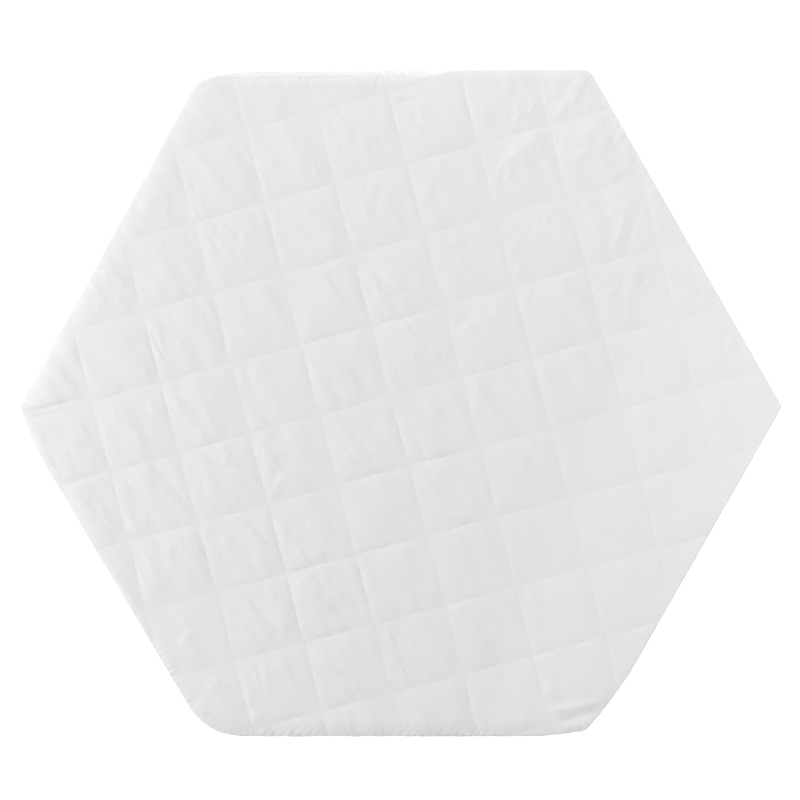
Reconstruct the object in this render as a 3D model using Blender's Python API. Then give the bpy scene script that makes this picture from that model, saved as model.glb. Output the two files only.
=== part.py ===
"""Hexagonal playpen mattress: a quilted, filled pad with a plain cloth band sewn round its side.

The mattress lies flat on its base, with +Z up. X runs across its corners and Y across its flat sides.
The origin is on the base plane, under the middle of the outline. All sizes are in metres.
"""

import math

import bmesh
import bpy
from mathutils import Vector

# Driving dimensions
SIDE = 0.600  # each side of the hexagon, before the cover was sewn and filled
STITCH_LEVEL = 0.0410  # height of the stitch lines, where the quilting is pulled down
CROWN = 0.0080  # how far the middle of a quilted square stands above its stitch lines
BAND_THICKNESS = 0.0020

# Corners of the cover as sewn and filled. Columns: name, the regular hexagon's corner that it comes
# from (in sixths of a turn from +X), how far it lies from that corner in x and in y, and how far from
# the corner its rounding starts. A ..._bulge is where the filling pushes a side out between corners.
CORNERS = (
    ("right", 0, -0.0034, -0.0067, 0.006),
    ("upper_right", 1, -0.0055, 0.0031, 0.016),
    ("top_bulge", 2, 0.0568, -0.0008, 0.030),
    ("upper_left", 2, -0.0152, -0.0091, 0.027),
    ("left", 3, 0.0039, -0.0039, 0.006),
    ("left_bulge", 3, 0.0277, -0.0689, 0.039),
    ("lower_left", 4, -0.0034, -0.0020, 0.060),
    ("base_bulge", 5, -0.0737, -0.0020, 0.030),
    ("lower_right", 5, -0.0111, 0.0063, 0.008),
    ("right_bulge", 5, 0.0431, 0.0690, 0.066),
)
CORNER_STEPS = 4  # facets in each rounded corner
SIDE_STEP = 0.065  # about how far apart the points along a straight side are
LEAST_ROUNDING = 0.003

# The top seam was sewn a little further in along part of the upper side, so more of the band shows there
SEAM_DRIFT = 0.0048  # how much further in
SEAM_DRIFT_AT = -0.145  # its middle, in x
SEAM_DRIFT_SPAN = 0.130  # from its middle to where it fades out

# Stitch lines of each family: where line 0 passes, the way it runs (degrees from +X), the pitch at line
# 0, how much the pitch grows and the direction turns from each line to the next, and the first and last
# line. The quilting was stretched a little when it was sewn on, so both families fan and drift.
STITCHES = (
    {
        "name": "rising",
        "through": (0.0379, 0.2615),
        "runs": 15.2,
        "pitch": 0.1147,
        "grows": -0.0006,
        "turns": -0.075,
        "first": -4,
        "last": 8,
    },
    {
        "name": "steep",
        "through": (0.0379, 0.2615),
        "runs": 104.5,
        "pitch": 0.1152,
        "grows": 0.0006,
        "turns": -0.06,
        "first": -7,
        "last": 5,
    },
)
BETWEEN_STITCHES = (0.0, 0.085, 0.25, 0.5, 0.75, 0.915)  # where a square's facets start, across it
SNAP = 0.0004  # points this near a cut are moved onto it

# Section of the pad's side, from the base up. Columns: name, inset from the outline, height.
PAD_SECTION = (
    ("base", 0.0170, 0.0000),
    ("base_edge", 0.0100, 0.0012),
    ("lower_seam", 0.0074, 0.0040),
    ("side_low", 0.0044, 0.0105),
    ("side_middle", 0.0024, 0.0200),
    ("side_high", 0.0044, 0.0295),
    ("upper_seam", 0.0078, 0.0362),
    ("roll", 0.0045, 0.0395),
    ("roll_top", 0.0095, 0.0395),
    ("shoulder", 0.0200, 0.0395),
)
TOP_STARTS = "roll"  # from here inwards the quilting sets the height
ROLL_HEIGHT = 0.0395
SHOULDER_WIDTH = 0.022  # over which the top rises from the roll to its full height

# Section of the side band's outer face, from its lower edge up. Columns as above.
BAND_SECTION = (
    ("lower_edge", 0.0050, 0.0036),
    ("low", 0.0020, 0.0105),
    ("middle", 0.0000, 0.0200),
    ("high", 0.0020, 0.0295),
    ("upper_edge", 0.0052, 0.0360),
)
DRIFT_STARTS = 0.0200  # the drift of the top seam grows from this height
DRIFT_ENDS = 0.0360  # to this one

# Broad swells and hollows of the filling under the whole top. Columns: name, x, y, radius, height.
SWELLS = (
    ("right_swell", 0.42, 0.02, 0.26, 0.0032),
    ("left_swell", -0.40, 0.04, 0.26, 0.0016),
    ("lower_hollow", 0.13, -0.24, 0.24, -0.0030),
    ("upper_swell", -0.02, 0.34, 0.24, 0.0014),
)

CLOTH_WHITE = (0.86, 0.86, 0.86, 1.0)
CLOTH_ROUGHNESS = 0.85


def clear_scene():
    """Empties the scene that Blender starts with."""
    for thing in list(bpy.data.objects):
        bpy.data.objects.remove(thing)


def sewn_corners():
    """The cover's corners as (place, reach) pairs, counter-clockwise from the right-hand one."""
    placed = []
    for _, sixths, dx, dy, reach in CORNERS:
        angle = sixths * math.pi / 3
        regular = Vector((SIDE * math.cos(angle), SIDE * math.sin(angle)))
        placed.append((regular + Vector((dx, dy)), reach))
    return placed


def inset_corners(inset):
    """The corners moved in until every side of the outline has moved in by the inset."""
    corners = sewn_corners()
    moved = []
    for i, (here, reach) in enumerate(corners):
        before = (here - corners[i - 1][0]).normalized()
        after = (corners[(i + 1) % len(corners)][0] - here).normalized()
        half_turn = abs(before.angle_signed(after)) / 2
        inwards = (after - before).normalized()
        shorter = reach - inset * math.tan(half_turn)
        moved.append((here + inwards * (inset / math.cos(half_turn)), max(shorter, LEAST_ROUNDING)))
    return moved


def sewn_outline(inset):
    """The outline at this inset, with the same number of points at every inset."""
    full = sewn_corners()
    corners = inset_corners(inset)
    points = []
    for i, (here, reach) in enumerate(corners):
        following = (i + 1) % len(corners)
        next_corner, next_reach = corners[following]
        back = (corners[i - 1][0] - here).normalized()
        on = (next_corner - here).normalized()
        for step in range(CORNER_STEPS + 1):
            t = step / CORNER_STEPS
            points.append(here + back * (reach * (1 - t) ** 2) + on * (reach * t**2))
        start = here + on * reach
        end = next_corner - on * next_reach
        steps = max(round((full[following][0] - full[i][0]).length / SIDE_STEP), 1)
        points += [start.lerp(end, step / steps) for step in range(1, steps)]
    return points


def outline(inset, height):
    """The outline at this inset and height, centred on the origin."""
    whole = sewn_outline(0.0)
    xs = [p.x for p in whole]
    ys = [p.y for p in whole]
    middle = Vector(((min(xs) + max(xs)) / 2, (min(ys) + max(ys)) / 2))
    share = min(max((height - DRIFT_STARTS) / (DRIFT_ENDS - DRIFT_STARTS), 0.0), 1.0)
    return [Vector((p.x, p.y - share * seam_drift(p))) - middle for p in sewn_outline(inset)]


def seam_drift(point):
    """How far in the top seam has drifted at a point of the outline."""
    if point.y < SIDE * 0.8:
        return 0.0
    away = min(abs(point.x - SEAM_DRIFT_AT) / SEAM_DRIFT_SPAN, 1.0)
    return SEAM_DRIFT * (1 + math.cos(math.pi * away)) / 2


def edge_distance(x, y, points):
    """Distance in from the nearest side of the outline."""
    here = Vector((x, y))
    nearest = math.inf
    for a, b in zip(points, points[1:] + points[:1]):
        side = b - a
        share = max(0.0, min(1.0, (here - a).dot(side) / side.length_squared))
        nearest = min(nearest, (here - a - side * share).length)
    return nearest


def stitch_line(family, k):
    """A point on stitch line k of the family, and the line's normal. k may be a fraction."""
    angle = math.radians(family["runs"] + family["turns"] * k)
    normal = Vector((math.sin(angle), -math.cos(angle)))
    start = math.radians(family["runs"])
    across = Vector((math.sin(start), -math.cos(start)))
    offset = family["pitch"] * k + family["grows"] * k * k / 2
    return Vector(family["through"]) + across * offset, normal


def square_share(family, x, y):
    """How far across its square a point lies, from 0 at one stitch line to 1 at the next."""
    here = Vector((x, y))
    past_last = 0.0
    for k in range(family["first"], family["last"] + 1):
        point, normal = stitch_line(family, k)
        past_this = (here - point).dot(normal)
        if past_this < 0:
            break
        past_last = past_this
    return past_last / (past_last - past_this)


def pillow(share):
    """Height of a filled square across its width: none at a stitch line and 1 half-way over."""
    return math.sin(math.pi * min(max(share, 0.0), 1.0)) ** 0.65


def swell(x, y):
    """The broad swells and hollows of the filling."""
    return sum(
        height * math.exp(-((x - cx) ** 2 + (y - cy) ** 2) / radius**2)
        for _, cx, cy, radius, height in SWELLS
    )


def top_height(x, y, inset):
    """Height of the quilted top at a place and its distance in from the outline."""
    roll_inset = {name: row_inset for name, row_inset, _ in PAD_SECTION}[TOP_STARTS]
    rise = min(max((inset - roll_inset) / SHOULDER_WIDTH, 0.0), 1.0)
    shoulder = math.sqrt(1 - (1 - rise) ** 2)
    crown = CROWN * pillow(square_share(STITCHES[0], x, y)) * pillow(square_share(STITCHES[1], x, y))
    return ROLL_HEIGHT + (STITCH_LEVEL - ROLL_HEIGHT + crown + swell(x, y)) * shoulder


def add_ring(mesh, inset, height):
    """Adds the outline's points at this inset and height, and returns its vertices."""
    return [mesh.verts.new((p.x, p.y, height)) for p in outline(inset, height)]


def skin(mesh, lower, upper, inside=False):
    """Joins two rings with a strip of triangles. The inside of a strip is split as its outside is."""
    for i in range(len(lower)):
        a, b, c, d = lower[i - 1], lower[i], upper[i], upper[i - 1]
        for corners in ((a, b, d), (b, c, d)) if inside else ((a, b, c), (a, c, d)):
            mesh.faces.new(corners)


def score(mesh, top_faces):
    """Cuts the top along each stitch line and along the lines where a square's facets meet."""
    faces = set(top_faces)
    for family in STITCHES:
        for k in range(family["first"], family["last"]):
            for share in BETWEEN_STITCHES:
                point, normal = stitch_line(family, k + share)
                live = [f for f in faces if f.is_valid]
                edges = list({e for f in live for e in f.edges})
                verts = list({v for f in live for v in f.verts})
                made = bmesh.ops.bisect_plane(
                    mesh,
                    geom=verts + edges + live,
                    dist=SNAP,
                    plane_co=(point.x, point.y, 0.0),
                    plane_no=(normal.x, normal.y, 0.0),
                )
                faces |= {part for part in made["geom"] if isinstance(part, bmesh.types.BMFace)}
    return [f for f in faces if f.is_valid]


def cloth(name):
    """The white cloth of one piece."""
    material = bpy.data.materials.new(name)
    material.use_nodes = True
    shader = material.node_tree.nodes["Principled BSDF"]
    shader.inputs["Base Color"].default_value = CLOTH_WHITE
    shader.inputs["Roughness"].default_value = CLOTH_ROUGHNESS
    shader.inputs["Metallic"].default_value = 0.0
    return material


def add_piece(name, mesh, collection):
    """Makes a mesh into a named object with its own cloth."""
    data = bpy.data.meshes.new(name)
    mesh.to_mesh(data)
    mesh.free()
    data.materials.append(cloth(name + "_cloth"))
    data.shade_smooth()
    piece = bpy.data.objects.new(name, data)
    collection.objects.link(piece)
    return piece


def quilted_pad(collection):
    """The filled pad: flat base, tucked-in side and quilted top, as one closed solid."""
    mesh = bmesh.new()
    rings = {name: add_ring(mesh, inset, height) for name, inset, height in PAD_SECTION}
    names = list(rings)
    for lower, upper in zip(names, names[1:]):
        skin(mesh, rings[lower], rings[upper])
    base = mesh.faces.new(reversed(rings[names[0]]))
    mesh.faces.new(rings[names[-1]])
    top_verts = {v for name in names[names.index(TOP_STARTS) :] for v in rings[name]}
    top_faces = [f for f in mesh.faces if f is not base and all(v in top_verts for v in f.verts)]
    top_faces = score(mesh, top_faces)
    edge = outline(0.0, ROLL_HEIGHT)
    for vert in {v for f in top_faces for v in f.verts}:
        vert.co.z = top_height(vert.co.x, vert.co.y, edge_distance(vert.co.x, vert.co.y, edge))
    bmesh.ops.triangulate(mesh, faces=top_faces)
    return add_piece("quilted_pad", mesh, collection)


def side_band(collection):
    """The plain strip of cloth round the side, sewn to the top and to the base."""
    mesh = bmesh.new()
    outer = [add_ring(mesh, inset, height) for _, inset, height in BAND_SECTION]
    inner = [add_ring(mesh, inset + BAND_THICKNESS, height) for _, inset, height in BAND_SECTION]
    for lower, upper in zip(outer, outer[1:]):
        skin(mesh, lower, upper)
    for lower, upper in zip(inner, inner[1:]):
        skin(mesh, upper, lower, inside=True)
    skin(mesh, outer[-1], inner[-1])
    skin(mesh, inner[0], outer[0])
    return add_piece("side_band", mesh, collection)


def main():
    """Builds the mattress."""
    clear_scene()
    collection = bpy.data.collections.new("hexagonal_playpen_mattress")
    bpy.context.scene.collection.children.link(collection)
    quilted_pad(collection)
    side_band(collection)


main()
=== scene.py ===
"""Dressed scene of a hexagonal playpen mattress: quilted pad, side band, quilting stitches and pale studio.

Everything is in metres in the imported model's frame: X across the corners, Y across the flat sides, +Z up.
"""

import logging
import math
from dataclasses import dataclass
from enum import Enum, IntEnum
from typing import NamedTuple

import bmesh
import bpy
import numpy as np
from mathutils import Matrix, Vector


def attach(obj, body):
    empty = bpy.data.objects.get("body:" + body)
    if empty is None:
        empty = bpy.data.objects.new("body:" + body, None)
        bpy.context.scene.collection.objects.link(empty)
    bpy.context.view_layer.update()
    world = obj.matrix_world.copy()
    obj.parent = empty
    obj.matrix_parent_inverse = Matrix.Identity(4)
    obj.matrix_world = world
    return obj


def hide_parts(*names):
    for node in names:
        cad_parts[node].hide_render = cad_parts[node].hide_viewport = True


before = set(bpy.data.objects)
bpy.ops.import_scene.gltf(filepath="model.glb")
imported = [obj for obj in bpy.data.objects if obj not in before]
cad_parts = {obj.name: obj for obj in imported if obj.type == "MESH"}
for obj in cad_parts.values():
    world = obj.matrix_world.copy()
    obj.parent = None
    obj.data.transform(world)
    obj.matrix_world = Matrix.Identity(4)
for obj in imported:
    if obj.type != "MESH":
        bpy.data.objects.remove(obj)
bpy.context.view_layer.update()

log = logging.getLogger("mattress")

NOISE_CELLS = 97
NOISE_SHIFT = 48.0
ROWS_AT_ONCE = 8000
PARTS_AT_ONCE = 12
MILLIMETRES = 1000
LEAST_LENGTH = 1e-7
LEAST_DIVISOR = 1e-12
LEAST_SQUARE = 1e-16
JUST_BELOW_ONE = 1 - 1e-9


class Seed(IntEnum):
    """The seed of each noise and of the stitches' chances."""

    LUMPS_BROAD = 5
    LUMPS_FINE = 6
    STITCHES = 7
    THREAD_DRIFT = 11
    THREAD_PATCHES = 23
    EDGE_BROAD = 31
    EDGE_FINE = 32
    GATHER_DRIFT = 33
    GATHER_SWELLS = 34
    BAND_BROAD = 51
    BAND_LONG = 52
    BAND_FINE = 53
    STRIP_DRIFT = 54
    STRIP_PATCHES = 55
    WRINKLE_PATCHES = 61
    WRINKLES_MAIN = 71
    WRINKLES_RIGHT = 81
    PINCH = 91


def ramp(values: np.ndarray, start: float, width: float) -> np.ndarray:
    """A straight rise from 0 to 1 that begins at the start and takes the width."""
    return np.clip((values - start) / width, 0, 1)


def eased(part: np.ndarray) -> np.ndarray:
    """A rise from 0 to 1 with soft ends."""
    return part * part * (3 - 2 * part)


class Corner(NamedTuple):
    """A corner of the sewn cover, by how far it lies from a corner of the regular hexagon."""

    name: str
    sixths: int
    dx: float
    dy: float
    reach: float


CORNERS = (
    Corner("right", 0, -0.0034, -0.0067, 0.006),
    Corner("upper_right", 1, -0.0055, 0.0031, 0.016),
    Corner("top_bulge", 2, 0.0568, -0.0008, 0.030),
    Corner("upper_left", 2, -0.0152, -0.0091, 0.027),
    Corner("left", 3, 0.0039, -0.0039, 0.006),
    Corner("left_bulge", 3, 0.0277, -0.0689, 0.039),
    Corner("lower_left", 4, -0.0034, -0.0020, 0.060),
    Corner("base_bulge", 5, -0.0737, -0.0020, 0.030),
    Corner("lower_right", 5, -0.0111, 0.0063, 0.008),
    Corner("right_bulge", 5, 0.0431, 0.0690, 0.066),
)


@dataclass(frozen=True)
class SewnOutline:
    """The mattress's outline, as sewn and filled. Places round it are numbered by the outline's points."""

    side: float = 0.600
    corner_steps: int = 12
    least_rounding: float = 0.003
    drift: float = 0.0100
    drift_at: float = -0.115
    drift_span: float = 0.215
    drift_fade: float = 0.40
    thin_strip: float = 0.35
    upper_part: float = 0.78
    upper_facing: float = 90.0
    strip_turn: float = 25.0
    inset_steps: tuple[float, ...] = (0.0, 0.004, 0.010, 0.018, 0.028, 0.200)

    def corners(self, inset: float) -> list[tuple[np.ndarray, float]]:
        """The corners moved in by the inset.

        Args:
            inset: How far every side has moved in.

        Returns:
            Each corner's place and how far from it its rounding starts.
        """
        placed = []
        for corner in CORNERS:
            angle = corner.sixths * math.pi / 3
            regular = np.array([math.cos(angle), math.sin(angle)]) * self.side
            placed.append(regular + [corner.dx, corner.dy])
        moved = []
        for i, here in enumerate(placed):
            before = here - placed[i - 1]
            after = placed[(i + 1) % len(placed)] - here
            before = before / np.linalg.norm(before)
            after = after / np.linalg.norm(after)
            half_turn = math.acos(min(1.0, float(before @ after))) / 2
            inwards = (after - before) / np.linalg.norm(after - before)
            shorter = CORNERS[i].reach - inset * math.tan(half_turn)
            moved.append((here + inwards * inset / math.cos(half_turn), max(shorter, self.least_rounding)))
        return moved

    def points(self, inset: float) -> np.ndarray:
        """The outline's points at an inset, counter-clockwise, the same number at every inset.

        Args:
            inset: How far in from the outermost edge.

        Returns:
            One row of x and y for each point, centred on the origin.
        """
        rows = []
        corners = self.corners(inset)
        for i, (here, reach) in enumerate(corners):
            back = corners[i - 1][0] - here
            on = corners[(i + 1) % len(corners)][0] - here
            back = back / np.linalg.norm(back)
            on = on / np.linalg.norm(on)
            for step in range(self.corner_steps + 1):
                t = step / self.corner_steps
                rows.append(here + back * (reach * (1 - t) ** 2) + on * (reach * t**2))
        rows = np.array(rows)
        if inset == 0.0:
            return rows - (rows.min(axis=0) + rows.max(axis=0)) / 2
        whole = np.array(self._middle())
        return rows - whole

    def _middle(self) -> tuple[float, float]:
        """The middle of the outermost outline's box before it is centred.

        Returns:
            Its x and y.
        """
        rows = []
        corners = self.corners(0.0)
        for i, (here, reach) in enumerate(corners):
            back = corners[i - 1][0] - here
            on = corners[(i + 1) % len(corners)][0] - here
            middle = here + (back / np.linalg.norm(back) + on / np.linalg.norm(on)) * reach / 4
            rows.append(middle)
        rows = np.array(rows)
        low, high = rows.min(axis=0), rows.max(axis=0)
        return tuple((low + high) / 2)

    def drifted(self, xy: np.ndarray, share: float | np.ndarray) -> np.ndarray:
        """The places with the upper side's seam drifted in.

        Args:
            xy: Rows of x and y.
            share: How much of the drift applies, from 0 to 1.

        Returns:
            The moved rows.
        """
        moved = xy.copy()
        upper = xy[:, 1] > self.side * self.upper_part
        moved[:, 1] -= upper * self.drift * self.strip_window(xy[:, 0]) * share
        return moved

    def strip_window(self, x: np.ndarray) -> np.ndarray:
        """How fully the upper side's seam has drifted in at each x, from 0 to 1."""
        away = np.abs(x - self.drift_at) / self.drift_span
        return eased(np.clip((1 - away) / self.drift_fade, 0, 1))

    def locate(self, xy: np.ndarray, inset: float) -> np.ndarray:
        """Where round the outline each place lies.

        Args:
            xy: Rows of x and y.
            inset: The inset of the outline that they lie on or near.

        Returns:
            For each row the number of the outline's point before it, plus the share of the way to the next.
        """
        a = self.points(inset)
        side = np.roll(a, -1, axis=0) - a
        length = np.maximum((side**2).sum(axis=1), LEAST_SQUARE)
        found = np.empty(len(xy))
        for start in range(0, len(xy), ROWS_AT_ONCE):
            rows = xy[start : start + ROWS_AT_ONCE]
            away = rows[:, None, :] - a[None]
            t = np.clip((away * side[None]).sum(axis=2) / length, 0, 1)
            gap = ((away - t[..., None] * side[None]) ** 2).sum(axis=2)
            nearest = gap.argmin(axis=1)
            along = np.minimum(t[np.arange(len(rows)), nearest], JUST_BELOW_ONE)
            found[start : start + ROWS_AT_ONCE] = nearest + along
        return found

    def at(self, place: np.ndarray, inset: float) -> np.ndarray:
        """The points at numbered places round the outline, all at one inset.

        Args:
            place: The numbered places.
            inset: How far in from the outermost edge.

        Returns:
            A row of x and y for each place.
        """
        rows = self.points(inset)
        i = place.astype(int) % len(rows)
        t = (place - place.astype(int))[:, None]
        return rows[i] * (1 - t) + rows[(i + 1) % len(rows)] * t

    def at_insets(self, place: np.ndarray, inset: np.ndarray) -> np.ndarray:
        """The points at numbered places round the outline, each at its own inset.

        Args:
            place: The numbered places.
            inset: How far in from the outermost edge each one lies.

        Returns:
            A row of x and y for each place.
        """
        steps = np.array(self.inset_steps)
        rows = np.stack([self.at(place, step) for step in steps])
        inset = np.broadcast_to(inset, place.shape)
        low = np.clip(np.searchsorted(steps, inset, side="right") - 1, 0, len(steps) - 2)
        t = ((inset - steps[low]) / (steps[low + 1] - steps[low]))[:, None]
        numbers = np.arange(len(place))
        return rows[low, numbers] * (1 - t) + rows[low + 1, numbers] * t

    def depth(self, xy: np.ndarray, inset: float = 0.0) -> np.ndarray:
        """How far inside the outline each place lies.

        Args:
            xy: Rows of x and y.
            inset: The inset of the outline that it is measured from.

        Returns:
            A distance for each row, negative outside.
        """
        a = self.points(inset)
        side = np.roll(a, -1, axis=0) - a
        inwards = np.stack([-side[:, 1], side[:, 0]], axis=1)
        inwards = inwards / np.maximum(np.linalg.norm(inwards, axis=1), LEAST_DIVISOR)[:, None]
        keep = np.linalg.norm(side, axis=1) > LEAST_LENGTH
        level = (a * inwards).sum(axis=1)
        return np.min(xy @ inwards[keep].T - level[keep][None], axis=1)

    def facing(self, place: np.ndarray) -> np.ndarray:
        """Which way the outline faces, turned evenly from corner to corner along each side.

        Args:
            place: The numbered places.

        Returns:
            Degrees from +X towards +Y, for each place.
        """
        rows = self.points(0.0)
        side = np.roll(rows, -1, axis=0) - rows
        side = side / np.linalg.norm(side, axis=1)[:, None]
        ways = side + np.roll(side, 1, axis=0)
        i = place.astype(int) % len(rows)
        t = (place - place.astype(int))[:, None]
        run = ways[i] * (1 - t) + ways[(i + 1) % len(rows)] * t
        return np.degrees(np.arctan2(-run[:, 0], run[:, 1])) % 360

    def top_strip(self, place: np.ndarray) -> np.ndarray:
        """How much of the band shows along the upper side.

        Args:
            place: The numbered places.

        Returns:
            A share from 0 to 1 for each place.
        """
        level = np.clip(1 - np.abs(self.facing(place) - self.upper_facing) / self.strip_turn, 0, 1)
        wide = self.strip_window(self.at(place, 0.0)[:, 0])
        return level * (self.thin_strip + (1 - self.thin_strip) * wide)

    def share_round(self, place: np.ndarray) -> np.ndarray:
        """The share of the way round the outline of each numbered place."""
        whole = self.length_round(np.array([len(self.points(0.0)) - 1e-6]))[0]
        return self.length_round(place) / whole

    def length_round(self, place: np.ndarray) -> np.ndarray:
        """The distance round the outline.

        Args:
            place: The numbered places.

        Returns:
            The distance to each place.
        """
        a = self.points(0.0)
        steps = np.linalg.norm(np.roll(a, -1, axis=0) - a, axis=1)
        total = np.concatenate([[0.0], np.cumsum(steps)])
        i = place.astype(int) % len(a)
        return total[i] + (place - place.astype(int)) * steps[i]


class Family(Enum):
    """The two families of stitch lines, by the way they run."""

    RISING = "rising"
    STEEP = "steep"


@dataclass(frozen=True)
class StitchLines:
    """One family of nearly parallel stitch lines, which fan and drift a little."""

    family: Family
    runs: float
    pitch: float
    grows: float
    turns: float
    first: int
    last: int
    through: tuple[float, float] = (0.0379, 0.2615)

    def line(self, k: np.ndarray) -> tuple[np.ndarray, np.ndarray]:
        """Where the numbered lines run.

        Args:
            k: The lines' numbers, which may be fractions.

        Returns:
            A point on each line, and each line's normal.
        """
        angle = np.radians(self.runs + self.turns * k)
        normal = np.stack([np.sin(angle), -np.cos(angle)], axis=-1)
        start = math.radians(self.runs)
        across = np.array([math.sin(start), -math.cos(start)])
        offset = self.pitch * k + self.grows * k * k / 2
        return np.array(self.through) + offset[..., None] * across, normal

    def square(self, xy: np.ndarray) -> tuple[np.ndarray, np.ndarray]:
        """Which square each place is in, and how far across it.

        Args:
            xy: Rows of x and y.

        Returns:
            The number of the stitch line before each place, and the share of the way to the next one.
        """
        numbers = np.arange(self.first, self.last + 1, dtype=float)
        places, normals = self.line(numbers)
        past = xy @ normals.T - (places * normals).sum(axis=1)[None]
        index = np.clip((past >= 0).sum(axis=1) - 1, 0, len(numbers) - 2)
        rows = np.arange(len(xy))
        before, after = past[rows, index], past[rows, index + 1]
        return index + self.first, np.clip(before / (before - after), 0, 1)


RISING = StitchLines(Family.RISING, 15.2, 0.1147, -0.0006, -0.075, -4, 8)
STEEP = StitchLines(Family.STEEP, 104.5, 0.1152, 0.0006, -0.06, -7, 5)


class Wander(NamedTuple):
    """A slow wave that the stitch lines wander by."""

    move_x: float
    move_y: float
    per_x: float
    per_y: float
    phase: float


WANDERS = (
    Wander(0.0006, 0.0004, 5.1, 2.3, 0.4),
    Wander(-0.0004, 0.0006, -3.7, 6.4, 2.1),
    Wander(0.0003, -0.0004, 11.3, 7.9, 4.0),
)


def wandered(xy: np.ndarray) -> np.ndarray:
    """Moves places by the stitch lines' wandering.

    Args:
        xy: Rows of x and y.

    Returns:
        The moved rows.
    """
    moved = xy.copy()
    for wave in WANDERS:
        turn = np.sin(2 * np.pi * (xy[:, 0] * wave.per_x + xy[:, 1] * wave.per_y) + wave.phase)
        moved[:, 0] += wave.move_x * turn
        moved[:, 1] += wave.move_y * turn
    return moved


def smooth_noise(xy: np.ndarray, scale: float, seed: int) -> np.ndarray:
    """Smooth noise over the plane.

    Args:
        xy: Rows of x and y.
        scale: The size of its lumps.
        seed: Which noise.

    Returns:
        A value from about -1 to 1 for each row.
    """
    table = np.random.default_rng(seed).uniform(-1, 1, (NOISE_CELLS, NOISE_CELLS))
    spot = xy / scale + NOISE_SHIFT
    cell = np.floor(spot).astype(int)
    part = eased(spot - cell)
    x0, y0 = cell[:, 0] % NOISE_CELLS, cell[:, 1] % NOISE_CELLS
    x1, y1 = (x0 + 1) % NOISE_CELLS, (y0 + 1) % NOISE_CELLS
    low = table[x0, y0] * (1 - part[:, 0]) + table[x1, y0] * part[:, 0]
    high = table[x0, y1] * (1 - part[:, 0]) + table[x1, y1] * part[:, 0]
    return low * (1 - part[:, 1]) + high * part[:, 1]


def ring_noise(along: np.ndarray, lumps: int, seed: int) -> np.ndarray:
    """Smooth noise round the closed outline.

    Args:
        along: The share of the way round, from 0 to 1.
        lumps: How many lumps there are all the way round.
        seed: Which noise.

    Returns:
        A value from -1 to 1 for each row.
    """
    table = np.random.default_rng(seed).uniform(-1, 1, lumps)
    spot = along * lumps
    cell = np.floor(spot).astype(int)
    part = eased(spot - cell)
    return table[cell % lumps] * (1 - part) + table[(cell + 1) % lumps] * part


class Swell(NamedTuple):
    """A broad swell or hollow of the filling."""

    name: str
    x: float
    y: float
    radius: float
    height: float


SWELLS = (
    Swell("right_swell", 0.42, 0.02, 0.26, 0.0022),
    Swell("left_swell", -0.40, 0.04, 0.26, 0.0016),
    Swell("lower_hollow", 0.13, -0.24, 0.24, -0.0030),
    Swell("upper_swell", -0.02, 0.34, 0.24, 0.0014),
)


class Crease(NamedTuple):
    """A soft ridge in the cloth, or a trough with a height below zero, in millimetres from the middle."""

    name: str
    x0: float
    y0: float
    x1: float
    y1: float
    width: float
    height: float


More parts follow.
